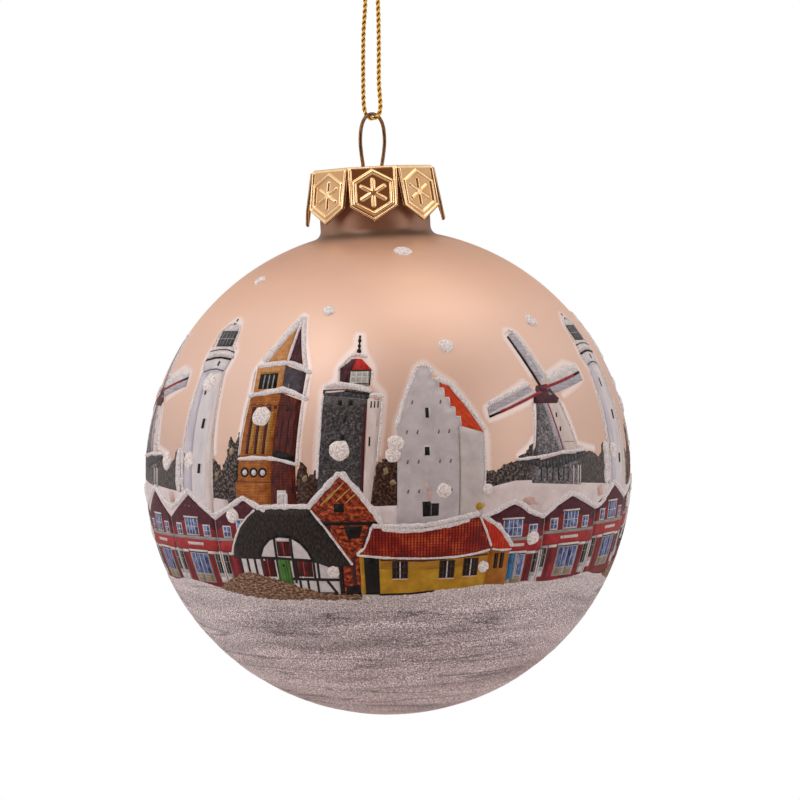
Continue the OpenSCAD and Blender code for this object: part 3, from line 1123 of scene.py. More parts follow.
# Name: three tones, then how the colour is drawn.
INKS = {
    "whitewash": (("d2cfd8", "e0dde3", "ebe8eb"), {"grain": 0.5, "stretch": (1, 0.4)}),
    "whitewash_cool": (("c4c1d3", "d1cedd", "dedbe5"), {"grain": 0.5, "stretch": (1, 0.4)}),
    "whitewash_warm": (("d3c8c6", "e0d5d2", "eee3e0"), {"grain": 0.6, "stretch": (1, 0.4)}),
    "grey_line": (("4a4a52", "6b6b74", "8d8d95"), {"grain": 2.0}),
    "dark": (("040303", "0b0909", "1c1818"), {"grain": 2.0}),
    "lantern": (("2c2e33", "4a4d54", "7b7d83"), {"grain": 1.4, "lines": (("X", 0.7, "1f2024", 0.7),)}),
    "orange_brick": (("a05a22", "c47a30", "dc9c4e"), {"bricks": (0.62, 0.24, "a86638"), "grain": 0.8}),
    "orange_plain": (("b27440", "ca9058", "dca878"), {"grain": 1.2}),
    "pier": (("b98633", "cd9c48", "ddb265"), {"bricks": (0.5, 0.24, "a8773a")}),
    "brick_shade": (
        ("44130e", "6a2419", "8a3a28"),
        {"bricks": (0.62, 0.24, "6a3a30"), "stretch": (2, 0.4), "spread": 0.12}
    ),
    "brick_dark": (("35171a", "4a2022", "5c2c2c"), {"grain": 1.2, "stretch": (2, 0.5)}),
    "belfry": (("2f2b35", "453e48", "5c525a"), {"grain": 0.9}),
    "granite": (("222126", "48464b", "7d7a7c"), {"stones": 3.0, "grain": 2.4, "spread": 0.1, "depth": 0.03}),
    "granite_light": (("4a494f", "6a686c", "86847f"), {"stones": 3.2, "grain": 2.4, "depth": 0.02}),
    "maroon": (("35131c", "4c1c27", "63303a"), {"grain": 1.0, "lines": (("X", 0.6, "2a0e15", 0.6),)}),
    "red": (("a81f22", "c52f2c", "da4b3d"), {"grain": 1.0}),
    "glazing": (("8f9592", "a9ada8", "c9cac4"), {"grain": 1.4}),
    "frame": (("cfc8c8", "dfd9d9", "f0ecec"), {"grain": 1.5}),
    "tree": (("181312", "3a3231", "7e7470"), {"grain": 2.3, "spread": 0.08, "depth": 0.04}),
    "brown_tree": (("170b07", "382218", "66483a"), {"grain": 2.2, "spread": 0.08, "depth": 0.04}),
    "hedge": (("2f2b2b", "4f4a49", "797270"), {"grain": 2.0, "stretch": (2.4, 0.7), "spread": 0.12}),
    "church": (("bab6bb", "c9c5ca", "d5d2d5"), {"grain": 0.35}),
    "church_side": (("c2bdbf", "d0cbcc", "dbd6d6"), {"grain": 0.35}),
    "church_roof": (
        ("c43414", "d5461d", "e2602f"), {"grain": 0.8, "lines": (("DIAGONAL", 0.5, "a52b12", 0.25),)}
    ),
    "hill": (("dacdd0", "e8dde0", "f3ecec"), {"grain": 0.3}),
    "blush": (("d3a79b", "dbb7ad", "e2c7c0"), {"grain": 0.6}),
    "lattice": (
        ("b5b4c2", "cac9d4", "dbdae2"), {"lines": (("X", 0.3, "7d7c8c", 0.6), ("Y", 0.5, "8a8998", 0.3))}
    ),
    "mill_stone": (
        ("504f56", "7e7d85", "b0afb5"), {"stones": 2.4, "grain": 2.0, "spread": 0.12, "stretch": (1.5, 1)}
    ),
    "mill_cap": (("35202a", "54303a", "6c3c46"), {"grain": 1.0}),
    "spar_red": (("7a1c28", "9c2b36", "b24450"), {"grain": 1.4}),
    "clapboard_dark": (("421523", "5a2030", "703043"), {"lines": (("Y", 0.33, "31111b", 0.6),)}),
    "clapboard": (("741823", "8c232d", "a2343a"), {"lines": (("Y", 0.33, "5a141b", 0.55),)}),
    "shop_red": (("5e1219", "7d1c23", "992b2f"), {"grain": 0.6, "stretch": (1.2, 0.5), "spread": 0.12}),
    "course": (("7d7e81", "979897", "b0afab"), {"grain": 1.4, "stretch": (0.4, 2)}),
    "pane_blue": (("31477c", "4f6ba6", "8fa4cf"), {"grain": 1.2, "spread": 0.12}),
    "pane_dark": (("14110f", "241e1b", "463b34"), {"grain": 1.2}),
    "shop_glass": (("28335a", "4b5c98", "8c9ad0"), {"grain": 1.0, "stretch": (1.4, 0.7), "spread": 0.12}),
    "shop_frame": (("8c9097", "a9acb1", "c4c5c7"), {"grain": 1.0}),
    "kick_board": (("7b6a4e", "98876a", "b7ab94"), {"grain": 1.2}),
    "blue_door": (("266494", "3a80b4", "5b9bc8"), {"grain": 0.9, "lines": (("X", 0.4, "1d4d75", 0.4),)}),
    "sign": (("cbc6c7", "d5d0d1", "dfdadb"), {"grain": 0.4}),
    "thatch": (("100e0d", "272221", "4c4541"), {"grain": 2.4, "stretch": (1.8, 0.6), "depth": 0.04}),
    "plaster": (("c8c4c9", "d8d5d8", "e6e4e5"), {"grain": 0.7}),
    "timber": (("15100f", "231b19", "352a27"), {"grain": 2.0, "stretch": (1, 3)}),
    "dark_red_pane": (("2f1013", "4a171b", "702328"), {"grain": 0.9, "stretch": (2, 0.5)}),
    "green_door": (
        ("39622a", "4c7c37", "649349"),
        {"grain": 0.8, "stretch": (2, 0.5), "lines": (("X", 0.5, "2d4f20", 0.5),)}
    ),
    "grass": (
        ("44291d", "7e5c45", "bb9c84"),
        {"grain": 2.0, "stretch": (0.8, 2.0), "spread": 0.1, "depth": 0.06}
    ),
    "mixed_brick": (("3d150c", "963418", "cc6230"), {"grain": 1.5, "spread": 0.1, "stretch": (0.8, 1.3)}),
    "gable_red": (
        ("5a1a0e", "a03a1e", "cd6234"),
        {"grain": 1.6, "spread": 0.12, "lines": (("DIAGONAL", 0.7, "3a100a", 0.6),)}
    ),
    "board": (("a58a45", "c2a85c", "d8c482"), {"grain": 1.5}),
    "yellow": (("a87b14", "be901f", "d2a434"), {"grain": 0.45}),
    "yellow_shade": (("a4681a", "bd8124", "cc9636"), {"grain": 0.6, "stretch": (0.4, 1)}),
    "ochre": (("935613", "a86a1c", "b97a2a"), {"grain": 0.6}),
    "pantile": (
        ("8c170c", "bd2e18", "e05c2c"),
        {"grain": 0.3, "spread": 0.1, "lines": (("X", 0.5, "3c0807", 0.9), ("Y", 0.42, "6a120c", 0.5)),
         "depth": 0.06}
    ),
    "pantile_lit": (
        ("c2200d", "d83414", "ea5526"),
        {"grain": 0.6, "lines": (("X", 0.5, "8e170d", 0.5),), "depth": 0.04}
    ),
    "band_red": (("96202a", "ab2b30", "bd3f3f"), {"grain": 0.9}),
    "sash_brown": (("3a1f12", "55301c", "714a30"), {"grain": 1.5}),
    "yellow_mid": (("a06f12", "b28220", "c4942f"), {"grain": 0.6, "stretch": (0.4, 1)}),
}
PALETTE.update({name: ink(name, tones, **drawn) for name, (tones, drawn) in INKS.items()})

# ------------------------------------------------------------------ printed village
# Each building is drawn once in degrees and millimetres, then repeated round the ball. The red row
# differs a little from turn to turn of the picture, so it is drawn for each.


def window(p, az, z, width, height, coat, glass="pane_dark", frame="frame", bars=1, rails=1, margin=0.16):
    """A window; bars stand upright in its frame and rails lie across. Without a frame it has neither."""
    if frame:
        p.box(az, z, width + 2 * margin / FLAT, height + 2 * margin, frame, coat)
    p.box(az, z, width, height, glass, coat + 1)
    for k in range(bars):
        x = az - width / 2 + width * (k + 1) / (bars + 1)
        p.line([(x, z - height / 2), (x, z + height / 2)], 0.13, frame, coat + 1.6)
    for k in range(rails):
        y = z - height / 2 + height * (k + 1) / (rails + 1)
        p.line([(az - width / 2, y), (az + width / 2, y)], 0.09, frame, coat + 1.6)


def disc(p, az, z, radius, finish, coat, sides=14):
    turn = [2 * math.pi * k / sides for k in range(sides)]
    p.patch([(az + radius * math.cos(a) / FLAT, z + radius * math.sin(a)) for a in turn], finish, coat)


def ragged(points, seed, amount=0.3, spacing=0.42):
    """The same outline with a leafy, uneven edge."""
    rand, line = random.Random(seed), []
    for (a, b), (c, d) in zip(points, points[1:] + points[:1]):
        count = max(1, round(math.hypot((c - a) * FLAT, d - b) / spacing))
        for k in range(count):
            t = k / count
            shake = amount if k else amount * 0.4
            az = a + (c - a) * t + rand.uniform(-shake, shake) / FLAT
            line.append((az, b + (d - b) * t + rand.uniform(-shake, shake)))
    return line


# Trees behind the houses: outline, colour, and how ragged it is. The place in the list is the seed.
TREES = [
    (
        [(-43.4, -5), (-43.2, 3.9), (-41.8, 3.4), (-40.2, 2.2), (-38.6, 4.4), (-38.4, 7.4), (-36.6, 6.5),
         (-35.6, 8.2), (-34.9, 3), (-35, -4.5)],
        "tree", 0.3
    ),
    (
        [(-21, -4.5), (-20.3, 1), (-19.8, 3.6), (-18.3, 3), (-17.6, 1.2), (-15.9, 2.4), (-14.8, 0.5),
         (-14.5, -3.5)],
        "brown_tree", 0.3
    ),
    (
        [(-5.4, -3.4), (-3.2, 0.4), (-2.6, 2.6), (-1, 4.1), (0.8, 3.9), (2.6, 3.6), (2.6, -3.4)],
        "brown_tree", 0.3
    ),
    (
        [(21.3, -1), (21.2, 1.5), (22.8, 1.8), (24.6, 1.6), (26.6, 2.7), (29.6, 3), (32.8, 4.7),
         (35, 5.8), (36.5, 3.5), (36.5, -0.6)],
        "tree", 0.3
    ),
    (
        [(48, -1.2), (48.5, 3.4), (54.5, 3.9), (57.2, 2.9), (59.8, 5.2), (61.4, 4.1), (64, 4.8),
         (67, 3.5), (67, -2)],
        "hedge", 0.2
    ),
]
TUFTS = (
    (-41.5, 1.5, 0.7), (-37.4, 5.2, 0.6), (-39, -1, 0.8), (-18.4, 1.2, 0.5), (-0.4, 2.2, 0.6),
    (1.2, 0.4, 0.5)
)


def draw_trees(p):
    for i, (outline, finish, amount) in enumerate(TREES):
        p.patch(ragged(outline, i + 1, amount), finish, 2)
    for az, z, r in TUFTS:
        tuft = [(az - r, z - r), (az + r, z - r * 0.6), (az + r * 0.6, z + r), (az - r * 0.7, z + r * 0.8)]
        p.patch(ragged(tuft, int(az * 7)), "kick_board" if z > 0 else "tree", 2.6)
    p.patch(
        [(19, -7.5), (20, -1), (24, -0.6), (29.5, 0.1), (39.6, 0), (49, -0.9), (60, -1.4), (78, -2.4),
         (78, -7)],
        "hill", 3
    )
    p.patch([(-6, -6.5), (-5.4, -3.2), (2.6, -3.1), (3, -6.5)], "hill", 2.6)
    p.patch(ragged([(31.2, -3.6), (32.4, -2.6), (34.6, -2.7), (35.8, -3.8)], 6, 0.2), "blush", 3.5)
    p.patch(ragged([(56, -3.4), (56.4, -1.7), (58, -1.6), (58.6, -3)], 7, 0.2), "blush", 3.5)


def draw_white_lighthouse(p):
    p.patch(
        [(-53.6, -5), (-53.3, 6.6), (-52.9, 17.3), (-44.8, 17.3), (-43.9, 10), (-43.2, 3), (-43, -5)],
        "whitewash", 3
    )
    p.patch(
        [(-53.6, -5), (-53.3, 6.6), (-52.9, 17.3), (-50.6, 17.3), (-50.4, 6.6), (-50, -5)],
        "whitewash_cool", 3.5
    )
    p.patch(
        [(-45.2, -5), (-45.4, 4), (-46, 17.3), (-44.8, 17.3), (-43.9, 10), (-43.2, 3), (-43, -5)],
        "whitewash_warm", 3.5
    )
    p.patch([(-52.9, 17.3), (-54.2, 19.2), (-49, 19.5), (-43.7, 19.2), (-44.8, 17.3)], "whitewash", 3.5)
    p.line([(-53, 17.3), (-50.5, 17.7), (-48, 17.8), (-45, 17.5)], 0.22, "grey_line", 4.5)
    p.line([(-54.2, 19.1), (-50.5, 19.5), (-48, 19.6), (-43.8, 19.3)], 0.3, "dark", 4.5)
    p.patch(
        [(-54.2, 19.3), (-53.9, 20.4), (-52.2, 21.4), (-45.3, 21.4), (-43.4, 20.2), (-43.1, 19.4),
         (-48.6, 19.9)],
        "frame", 4
    )
    p.line([(-54, 20.5), (-50.5, 20.8), (-46.5, 20.8), (-43.6, 20.4)], 0.16, "dark", 5)
    p.patch([(-52.3, 21.3), (-53.1, 23.8), (-45.9, 23.8), (-45.5, 21.3)], "lantern", 4.5)
    for x in (-51.4, -49.9, -48.4, -46.9):
        p.line([(x, 21.5), (x - 0.25, 23.6)], 0.13, "course", 4.8)
    p.line([(-52.6, 22.5), (-45.8, 22.5)], 0.12, "course", 4.8)
    p.patch([(-53.3, 23.7), (-51.5, 24.3), (-49.3, 24.8), (-46.8, 24.4), (-45.8, 23.7)], "frame", 5)
    p.line([(-49.4, 24.6), (-49.2, 25.6)], 0.3, "dark", 5.5)
    p.line([(-48.1, 18.3), (-47.8, 19)], 0.5, "dark", 5)
    for z in (2.4, 9.4):
        p.patch([(-48.2, z - 0.8), (-48, z + 0.7), (-47.1, z + 0.7), (-47.3, z - 0.8)], "dark", 5)
        p.line([(-47, z - 0.8), (-46.8, z + 0.7)], 0.12, "frame", 5.2)
    p.line([(-49.5, 13.8), (-49.3, 15.2)], 0.4, "dark", 5)


def draw_bell_tower(p):
    p.patch([(-35.9, -4), (-36, 0.4), (-35.4, 0.5), (-35.2, 4), (-26.5, 4.1), (-26.8, -4)], "orange_brick", 3)
    p.patch([(-26.8, -4), (-26.5, 4.1), (-20.7, 3.2), (-20.4, -4)], "brick_shade", 3)
    p.patch([(-35, 3.9), (-33.8, 13.6), (-25.6, 14.2), (-26.5, 4)], "orange_brick", 3.5)
    p.patch([(-26.5, 4), (-25.6, 14.2), (-20.1, 13), (-20.8, 3.2)], "brick_shade", 3.5)
    p.line([(-36, 0.5), (-26.8, 0.5)], 0.14, "brick_shade", 4.2)
    for low, high in ((-33.1, -32.4), (-30.9, -30.5), (-28.8, -28.3)):
        p.patch(
            [(low - 0.38, 4.8), (high - 0.36, 11.6), (high + 0.36, 11.6), (low + 0.38, 4.8)],
            "brick_dark", 4.4
        )
        p.patch([(low + 0.42, 4.9), (high + 0.5, 11.3), (high + 1.5, 11.3), (low + 1.4, 4.9)], "pier", 4.4)
        disc(p, high + 0.1, 11.7, 0.42, "brick_dark", 4.6)
        p.line([(high - 0.9, 12.1), (high - 0.2, 12.5), (high + 0.7, 12.2)], 0.14, "brick_dark", 4.8)
    disc(p, -26.6, 12, 0.3, "brick_dark", 4.6)
    for x, lean in ((-24.9, 0.5), (-23.3, 0.5), (-21.8, 0.4)):
        p.patch(
            [(x - 0.3, 4.6), (x + lean - 0.3, 11.4), (x + lean + 0.3, 11.4), (x + 0.3, 4.6)],
            "brick_dark", 4.4
        )
    p.line([(-26, 12.4), (-23.4, 12.2), (-20.4, 11.4)], 0.16, "brick_dark", 4.6)
    p.patch(ragged([(-26.2, 4.3), (-25.8, 5.4), (-22.5, 5), (-20.9, 4.4), (-21, 3.4)], 8, 0.12), "dark", 4.6)
    window(p, -23.5, 11.7, 0.7, 0.5, 4.8, bars=0, rails=0, frame=None)
    for x in (-33.5, -31.1, -28.8):
        disc(p, x, 2, 0.78, "dark", 4)
        disc(p, x + 0.1, 1.95, 0.46, "frame", 4.6)
    p.patch([(-33.3, 14), (-33.8, 18.2), (-25.8, 18.4), (-25.5, 14.4)], "orange_plain", 3.5)
    p.patch([(-25.5, 14.2), (-25.8, 18.4), (-19.8, 17.2), (-20.1, 13.4)], "belfry", 3.5)
    p.patch([(-32.2, 14.7), (-32.4, 17), (-27.3, 17.2), (-27.1, 14.9)], "dark", 4.2)
    for x in (-30.9, -29.6, -28.3):
        p.line([(x, 14.8), (x - 0.05, 16.9)], 0.24, "course", 4.8)
    p.line([(-32.6, 17.2), (-27, 17.4)], 0.2, "pier", 4.8)
    p.line([(-24, 14.5), (-23.9, 15.5)], 0.22, "course", 4.4)
    p.patch([(-31.4, 18.4), (-25.3, 24.9), (-25.2, 18.6)], "orange_plain", 3.5)
    p.patch([(-25.2, 18.6), (-24.6, 25.2), (-20.6, 17.4)], "maroon", 3.5)
    p.box(-24, -2, 2.2, 2.6, "frame", 5)


def draw_stone_lighthouse(p):
    p.patch(
        [(-4.6, 5), (-4.3, 13.3), (-0.9, 13.1), (-1.6, 10.3), (-2.5, 3.4), (-3.8, -3), (-6, -3)],
        "whitewash_warm", 3
    )
    p.line([(-1.9, 12.6), (-2.2, 9), (-3.2, 1)], 0.22, "church", 3.6)
    for x in (-3.5, -2.7, -1.9):
        p.line([(x, 11.8), (x + 0.1, 12.8)], 0.22, "dark", 4)
    p.line([(-3.9, 6), (-3.8, 7.4)], 0.26, "dark", 4)
    p.line([(-2.8, 13.2), (-1.5, 13.1)], 0.3, "blush", 4)
    p.patch([(-15.7, -4), (-15.3, 4), (-14.6, 14.1), (-4.3, 13.7), (-4.9, 6), (-5.5, -4)], "granite", 3.5)
    p.patch([(-14.8, 12), (-14.6, 14), (-4.3, 13.6), (-4.5, 12)], "granite_light", 4)
    p.patch([(-6.2, -4), (-5.6, 6), (-4.9, 13.3), (-4.3, 13.4), (-4.9, 6), (-5.5, -4)], "maroon", 4)
    p.patch([(-15, 14.6), (-14.8, 13.7), (-9, 13.5), (-4.2, 13.1), (-3.4, 14.1), (-9, 14.7)], "granite", 4.5)
    p.line([(-15, 14.2), (-9, 14.3), (-3.6, 13.8)], 0.2, "dark", 4.8)
    p.line([(-14.7, 13.6), (-9.5, 13.3), (-4.4, 13)], 0.16, "grey_line", 5)
    for x in (-10.7, -8.2):
        window(p, x, 12.6, 0.9, 0.75, 4.8, "dark", None, 0, 0)
    p.line([(-9.7, 9.5), (-9.2, 10.6)], 0.34, "dark", 4.8)
    p.box(-9.9, 7.4, 0.8, 0.8, "dark", 4.8)
    p.patch([(-11.2, 17.7), (-11, 15.3), (-8.6, 15.2), (-8.5, 17.6)], "maroon", 4)
    p.patch([(-8.6, 17.6), (-8.7, 15.2), (-4.1, 15.1), (-3.7, 17.6)], "glazing", 4)
    for x in (-8.4, -7.1, -5.7, -4.4):
        p.line([(x - 0.1, 15.2), (x, 17.3)], 0.16, "frame", 4.8)
    for z in (15.7, 16.5, 17.1):
        p.line([(-8.5, z), (-4, z)], 0.12, "frame", 4.6)
    p.line([(-8.6, 15.5), (-4.2, 15.4)], 0.12, "dark", 5)
    p.line([(-3.9, 15.2), (-3.7, 17.5)], 0.18, "dark", 5)
    p.patch([(-11.4, 17.7), (-8.6, 19.2), (-7.2, 19.3), (-8.3, 17.5)], "mill_cap", 4.5)
    p.patch([(-8.3, 17.5), (-7.4, 19.3), (-5.9, 19.2), (-3.3, 17.5)], "red", 4.5)
    p.line([(-8.5, 17.45), (-3.4, 17.45)], 0.16, "dark", 5)
    for a, b in (((-11, 18.05), (-10.2, 18.4)), ((-9.9, 18.5), (-8.8, 19.1))):
        p.line([a, b], 0.28, "frame", 5.5)
    p.line([(-6.7, 19.9), (-6.8, 22.7)], 0.26, "dark", 5)
    for z, r in ((20.4, 0.4), (21.2, 0.3), (22, 0.32), (22.6, 0.22)):
        disc(p, -6.75, z, r, "dark", 5.4, 9)


# The stepped gable: its shoulder, then equal steps, in degrees across and millimetres down.
SHOULDER_AZ, STEP_AZ, STEP_TOP = 11, 12.6, 16
STEPS, STEP_RUN, STEP_RISE = 5, 1.1, 1.45

# The middle of the front, and its rows of wall anchors: height, then how far they lie to both sides.
FRONT_AZ = 9.3
ANCHOR_ROWS = ((12.5, (3.3,)), (8, (2.4, 4.8)), (3.5, (2.4, 4.8)), (-1, (2.4, 4.8)))


def church_steps():
    """Corners of the stepped gable, from its shoulder down to the right."""
    corners = [(SHOULDER_AZ, STEP_TOP)]
    for k in range(STEPS):
        az = STEP_AZ + STEP_RUN * k
        corners += [(az, STEP_TOP - STEP_RISE * k), (az, STEP_TOP - STEP_RISE * (k + 1))]
    return corners


def draw_church(p):
    steps = church_steps()
    p.patch([(12.3, 15.6), (15.1, 14.8), (18.7, 11.6), (22.4, 7.6), (16.4, 8.6)], "church_roof", 3)
    p.patch([(15.9, -5.5), (16.4, 8.9), (22.2, 7.7), (21.5, -5.5)], "church_side", 3.5)
    front = [(2, -6), (2.4, 9.3), (3.1, 10.2), (4.8, 13.1), (7.9, 17.6), (SHOULDER_AZ, 17.6)] + steps
    p.patch(front + [(16.4, 8.8), (15.9, -6)], "church", 4)
    p.line([(16.4, 8.7), (15.9, -5)], 0.12, "course", 4.8)
    for (a, b), (c, d) in zip(steps, steps[1:]):
        p.line([(a, b), (c, d)], 0.2, "frame", 4.8)
    p.box(9.3, 10.9, 0.75, 1.5, "dark", 5)
    p.line([(10, 10.1), (10, 11.7)], 0.14, "frame", 5.2)
    window(p, 8.9, 5.1, 1.1, 1.3, 5, "dark", "frame", 0, 0)
    p.patch([(7.7, -4.9), (7.6, -2.6), (9.4, -2.6), (9.5, -2.9), (11.3, -2.9), (11.2, -4.8)], "dark", 5)
    p.line([(9.5, -4.7), (9.6, -3)], 0.16, "grey_line", 5.6)
    p.line([(8.3, 0.2), (9.1, -1), (9.3, -2.5)], 0.45, "blush", 4.8)
    for z, offsets in ANCHOR_ROWS:
        for az in [FRONT_AZ + side * offset for side in (-1, 1) for offset in offsets]:
            p.line([(az - 0.1, z - 0.28), (az + 0.15, z + 0.28)], 0.24, "grey_line", 5)
    disc(p, 20.6, -3.6, 0.6, "yellow", 4.8)
    disc(p, 21.4, -3.4, 0.4, "board", 4.9)


def blade(p, root, tip, out, width, spar):
    """One lattice sail from its root to its tip; out is the side the cloth frame stands on."""
    (a, b), (c, d) = root, tip
    x, y = (c - a) * FLAT, d - b
    length = math.hypot(x, y)
    nx, ny = -y / length * out, x / length * out
    near = (a + (c - a) * 0.1, b + (d - b) * 0.1)
    far_side = (c + nx * width / FLAT, d + ny * width)
    near_side = (near[0] + nx * width / FLAT, near[1] + ny * width)
    p.patch([near, tip, far_side, near_side], "lattice", 5)
    p.line([near, tip], 0.16, "grey_line", 5.6)
    end = (a + (c - a) * 0.82, b + (d - b) * 0.82)
    p.line([root, end], 0.42, spar, 6)
    p.line([end, tip], 0.34, "dark", 6)


def draw_windmill(p):
    p.patch([(33.4, 2.4), (34, -0.4), (49.4, -1.2), (49.6, 2.6)], "mill_stone", 3.3)
    p.patch(
        [(30.6, 3), (33, 1.8), (41.4, 1.5), (41.7, -0.2), (49, -1), (49.5, 2.4), (52.4, 3.4), (51.6, 4),
         (43.3, 3.8), (36.9, 3.1)],
        "hedge", 3.2
    )
    p.patch(
        [(31.2, 2.9), (36.8, 1.9), (41.8, 1.7), (46.6, 2.6), (52.4, 3.6), (51.7, 3.9), (43.3, 3.6),
         (36.9, 3)],
        "lantern", 4
    )
    for x in (36.5, 38.2, 39.9, 41.6, 43.3, 45):
        p.line([(x, -0.2), (x + 0.2, 1.8)], 0.2, "dark", 4.2)
    for x in (46.6, 48.2, 49):
        p.line([(x, -1.1), (x + 0.2, 1.9)], 0.22, "frame", 4.4)
    p.patch([(35, 3.4), (36.2, 7.5), (37.6, 12), (41, 12), (43.2, 4)], "mill_stone", 3.8)
    p.patch(
        [(42.6, 3.8), (41, 12), (44.4, 12.1), (46.2, 8.8), (47.7, 5.7), (48.1, 3.7)],
        "whitewash_warm", 3.8
    )
    p.line([(44.3, 5.7), (47.7, 5.6)], 0.12, "course", 4.6)
    p.line([(41, 12), (42.4, 8), (43.7, 4.5)], 0.26, "spar_red", 4.8)
    for az, z in ((43.1, 9.9), (43.6, 7.7)):
        p.line([(az - 0.1, z - 0.35), (az + 0.1, z + 0.35)], 0.3, "dark", 5)
    for a, b in (((37.2, 3.6), (37.6, 5.4)), ((37.6, 5.4), (40, 5.4)), ((40, 5.4), (40.2, 3.8))):
        p.line([a, b], 0.2, "grey_line", 5)
    p.patch([(39.6, 11.8), (41, 11.8), (43.2, 7), (44.6, 4.4), (42.6, 4.4), (41, 7)], "lattice", 4.4)
    p.patch(
        [(36.7, 11.8), (37.3, 12.9), (38.8, 14.5), (42.4, 14.7), (43.8, 13.3), (45.2, 12.4),
         (44.2, 11.7)],
        "mill_cap", 5
    )
    blade(p, (40.3, 14.2), (35, 22.2), -1, 1.7, "dark")
    blade(p, (40.3, 14), (57, 16.3), -1, 1.3, "spar_red")
    blade(p, (40, 13.6), (24.1, 10), 1, 0, "spar_red")
    p.patch([(24.1, 10), (24, 11.5), (36.4, 14.4), (38.4, 13.4)], "lattice", 5)
    p.patch([(24.1, 10), (24.1, 10.5), (38, 13.9), (38.4, 13.4)], "frame", 5.3)
    p.patch([(41.4, 14.2), (56.8, 16.4), (56.6, 17), (50, 17), (43, 15.6)], "frame", 4.8)
    p.patch([(40.3, 14.3), (42.6, 15.6), (43.2, 16.2), (38.6, 22.8), (37.4, 22.4)], "frame", 4.8)
    disc(p, 40.2, 14.1, 0.5, "mill_cap", 6.6)


# A row of red shops: middles of the houses, heights of their gables, and rise per degree.
RIGHT_SHOPS = ((29.3, 46.4, 64.8, 83.2), (-3.2, -3.2, -2.9, -3), 0.04)
LEFT_SHOPS = ((29.5, 46.9, 64.7, 82.4), (-2.4, -1.7, -1.9, -2.4), 0.0)
ROWS = [RIGHT_SHOPS, RIGHT_SHOPS, LEFT_SHOPS]
HALF_HOUSE, ROW_LEVEL_AZ = 9, 38


def draw_red_house(p, c, left, right, peak, dz):
    """One gabled shop of the row from left to right, its gable over c and all its heights moved by dz."""

    def box(az, z, width, height, finish, coat):
        p.box(az, z + dz, width, height, finish, coat)

    def line(points, width, finish, coat):
        p.line([(az, z + dz) for az, z in points], width, finish, coat)

    def patch(points, finish, coat):
        p.patch([(az, z + dz) for az, z in points], finish, coat)

    patch([(left, -5.7), (c, peak), (right, -5.7), (right, -8.9), (left, -8.9)], "clapboard_dark", 4)
    patch(
        [(left, -7.2), (c - 3, -5.9), (c + 3, -6.2), (right, -7.4), (right, -8.9), (left, -8.9)],
        "clapboard", 4.4
    )
    patch([(left, -8.6), (right, -8.6), (right, -10.7), (left, -10.7)], "band_red", 4.2)
    patch([(left, -10.6), (right, -10.6), (right, -17.4), (left, -17.4)], "shop_red", 4.2)
    line([(left, -8.65), (right, -8.65)], 0.5, "course", 5)
    window(p, c, -6.85 + dz, 4.5, 2.5, 5, "pane_blue", "frame", 3, 1, 0.2)
    line([(c - 2.9, -5.4), (c + 2.9, -5.4)], 0.26, "frame", 6)
    line([(c - 2.8, -5.6), (c + 2.8, -5.6)], 0.1, "dark", 6.2)
    for x in (c - 5.5, c + 5.5):
        window(p, x, -7.4 + dz, 1.9, 1.5, 5, "pane_blue", "frame", 1, 1, 0.2)
    box(c + 0.3, -9.6, 5.6, 0.46, "sign", 5.4)
    for x in (c - 2.5, c + 3.1):
        disc(p, x, -9.6 + dz, 0.26, "frame", 6, 8)
    box(c + 0.6, -13.3, 7.4, 5, "shop_frame", 5)
    line([(c - 3.2, -10.75), (c + 4.4, -10.75)], 0.34, "frame", 6)
    line([(c - 3, -11), (c + 4.2, -11)], 0.14, "dark", 6.2)
    for x in (c - 1, c + 2.3):
        box(x, -12.8, 2.8, 3.1, "shop_glass", 5.8)
        line([(x, -14.3), (x, -11.3)], 0.1, "frame", 6.4)
        box(x, -15.1, 2.6, 1.1, "kick_board", 5.8)
    for side in (-1, 1):
        x = c + 0.4 + side * 5.3
        line([(x - 1.3, -10.9), (x + 1.3, -10.9)], 0.42, "frame", 6)
        line([(x - 0.4, -16.5), (x - 0.4, -11.4)], 0.18, "clapboard_dark", 5.2)
        x = c + side * 7.6
        box(x, -13.2, 2.2, 4.9, "shop_frame", 4.8)
        box(x, -12.6, 1.7, 3, "pane_dark", 5.6)
        line([(x - 0.8, -12.2), (x + 0.8, -12.2)], 0.1, "course", 6)
        line([(x, -14), (x, -11.2)], 0.1, "course", 6)
        box(x, -15.2, 1.6, 0.9, "plaster", 5.6)


def draw_red_row(p):
    for turn, (houses, peaks, slope) in zip(TURNS, ROWS):
        for i, (c, peak) in enumerate(zip(houses, peaks)):
            last = i == len(houses) - 1
            left = (houses[i - 1] + c) / 2 if i else c - HALF_HOUSE
            right = c + HALF_HOUSE if last else (houses[i + 1] + c) / 2
            dz = slope * (c - ROW_LEVEL_AZ)
            draw_red_house(p, c + turn, left + turn, right + turn, peak, dz)
            if not last:
                x = right + turn
                p.line([(x - 0.3, -10.6 + dz), (x - 0.3, -17)], 0.3, "frame", 6)
                p.line([(x + 0.4, -10.6 + dz), (x + 0.4, -17)], 0.24, "whitewash", 6)
                p.line([(x, -5.6 + dz), (x, -10.6 + dz)], 0.14, "course", 6)
        p.patch(
            [(29.2 + turn, -11.2), (29.2 + turn, -15.4), (30.6 + turn, -15.3), (30.4 + turn, -11.2)],
            "blue_door", 7
        )
        p.line([(30.9 + turn, -11.1), (31.1 + turn, -15.4)], 0.5, "shop_frame", 7)


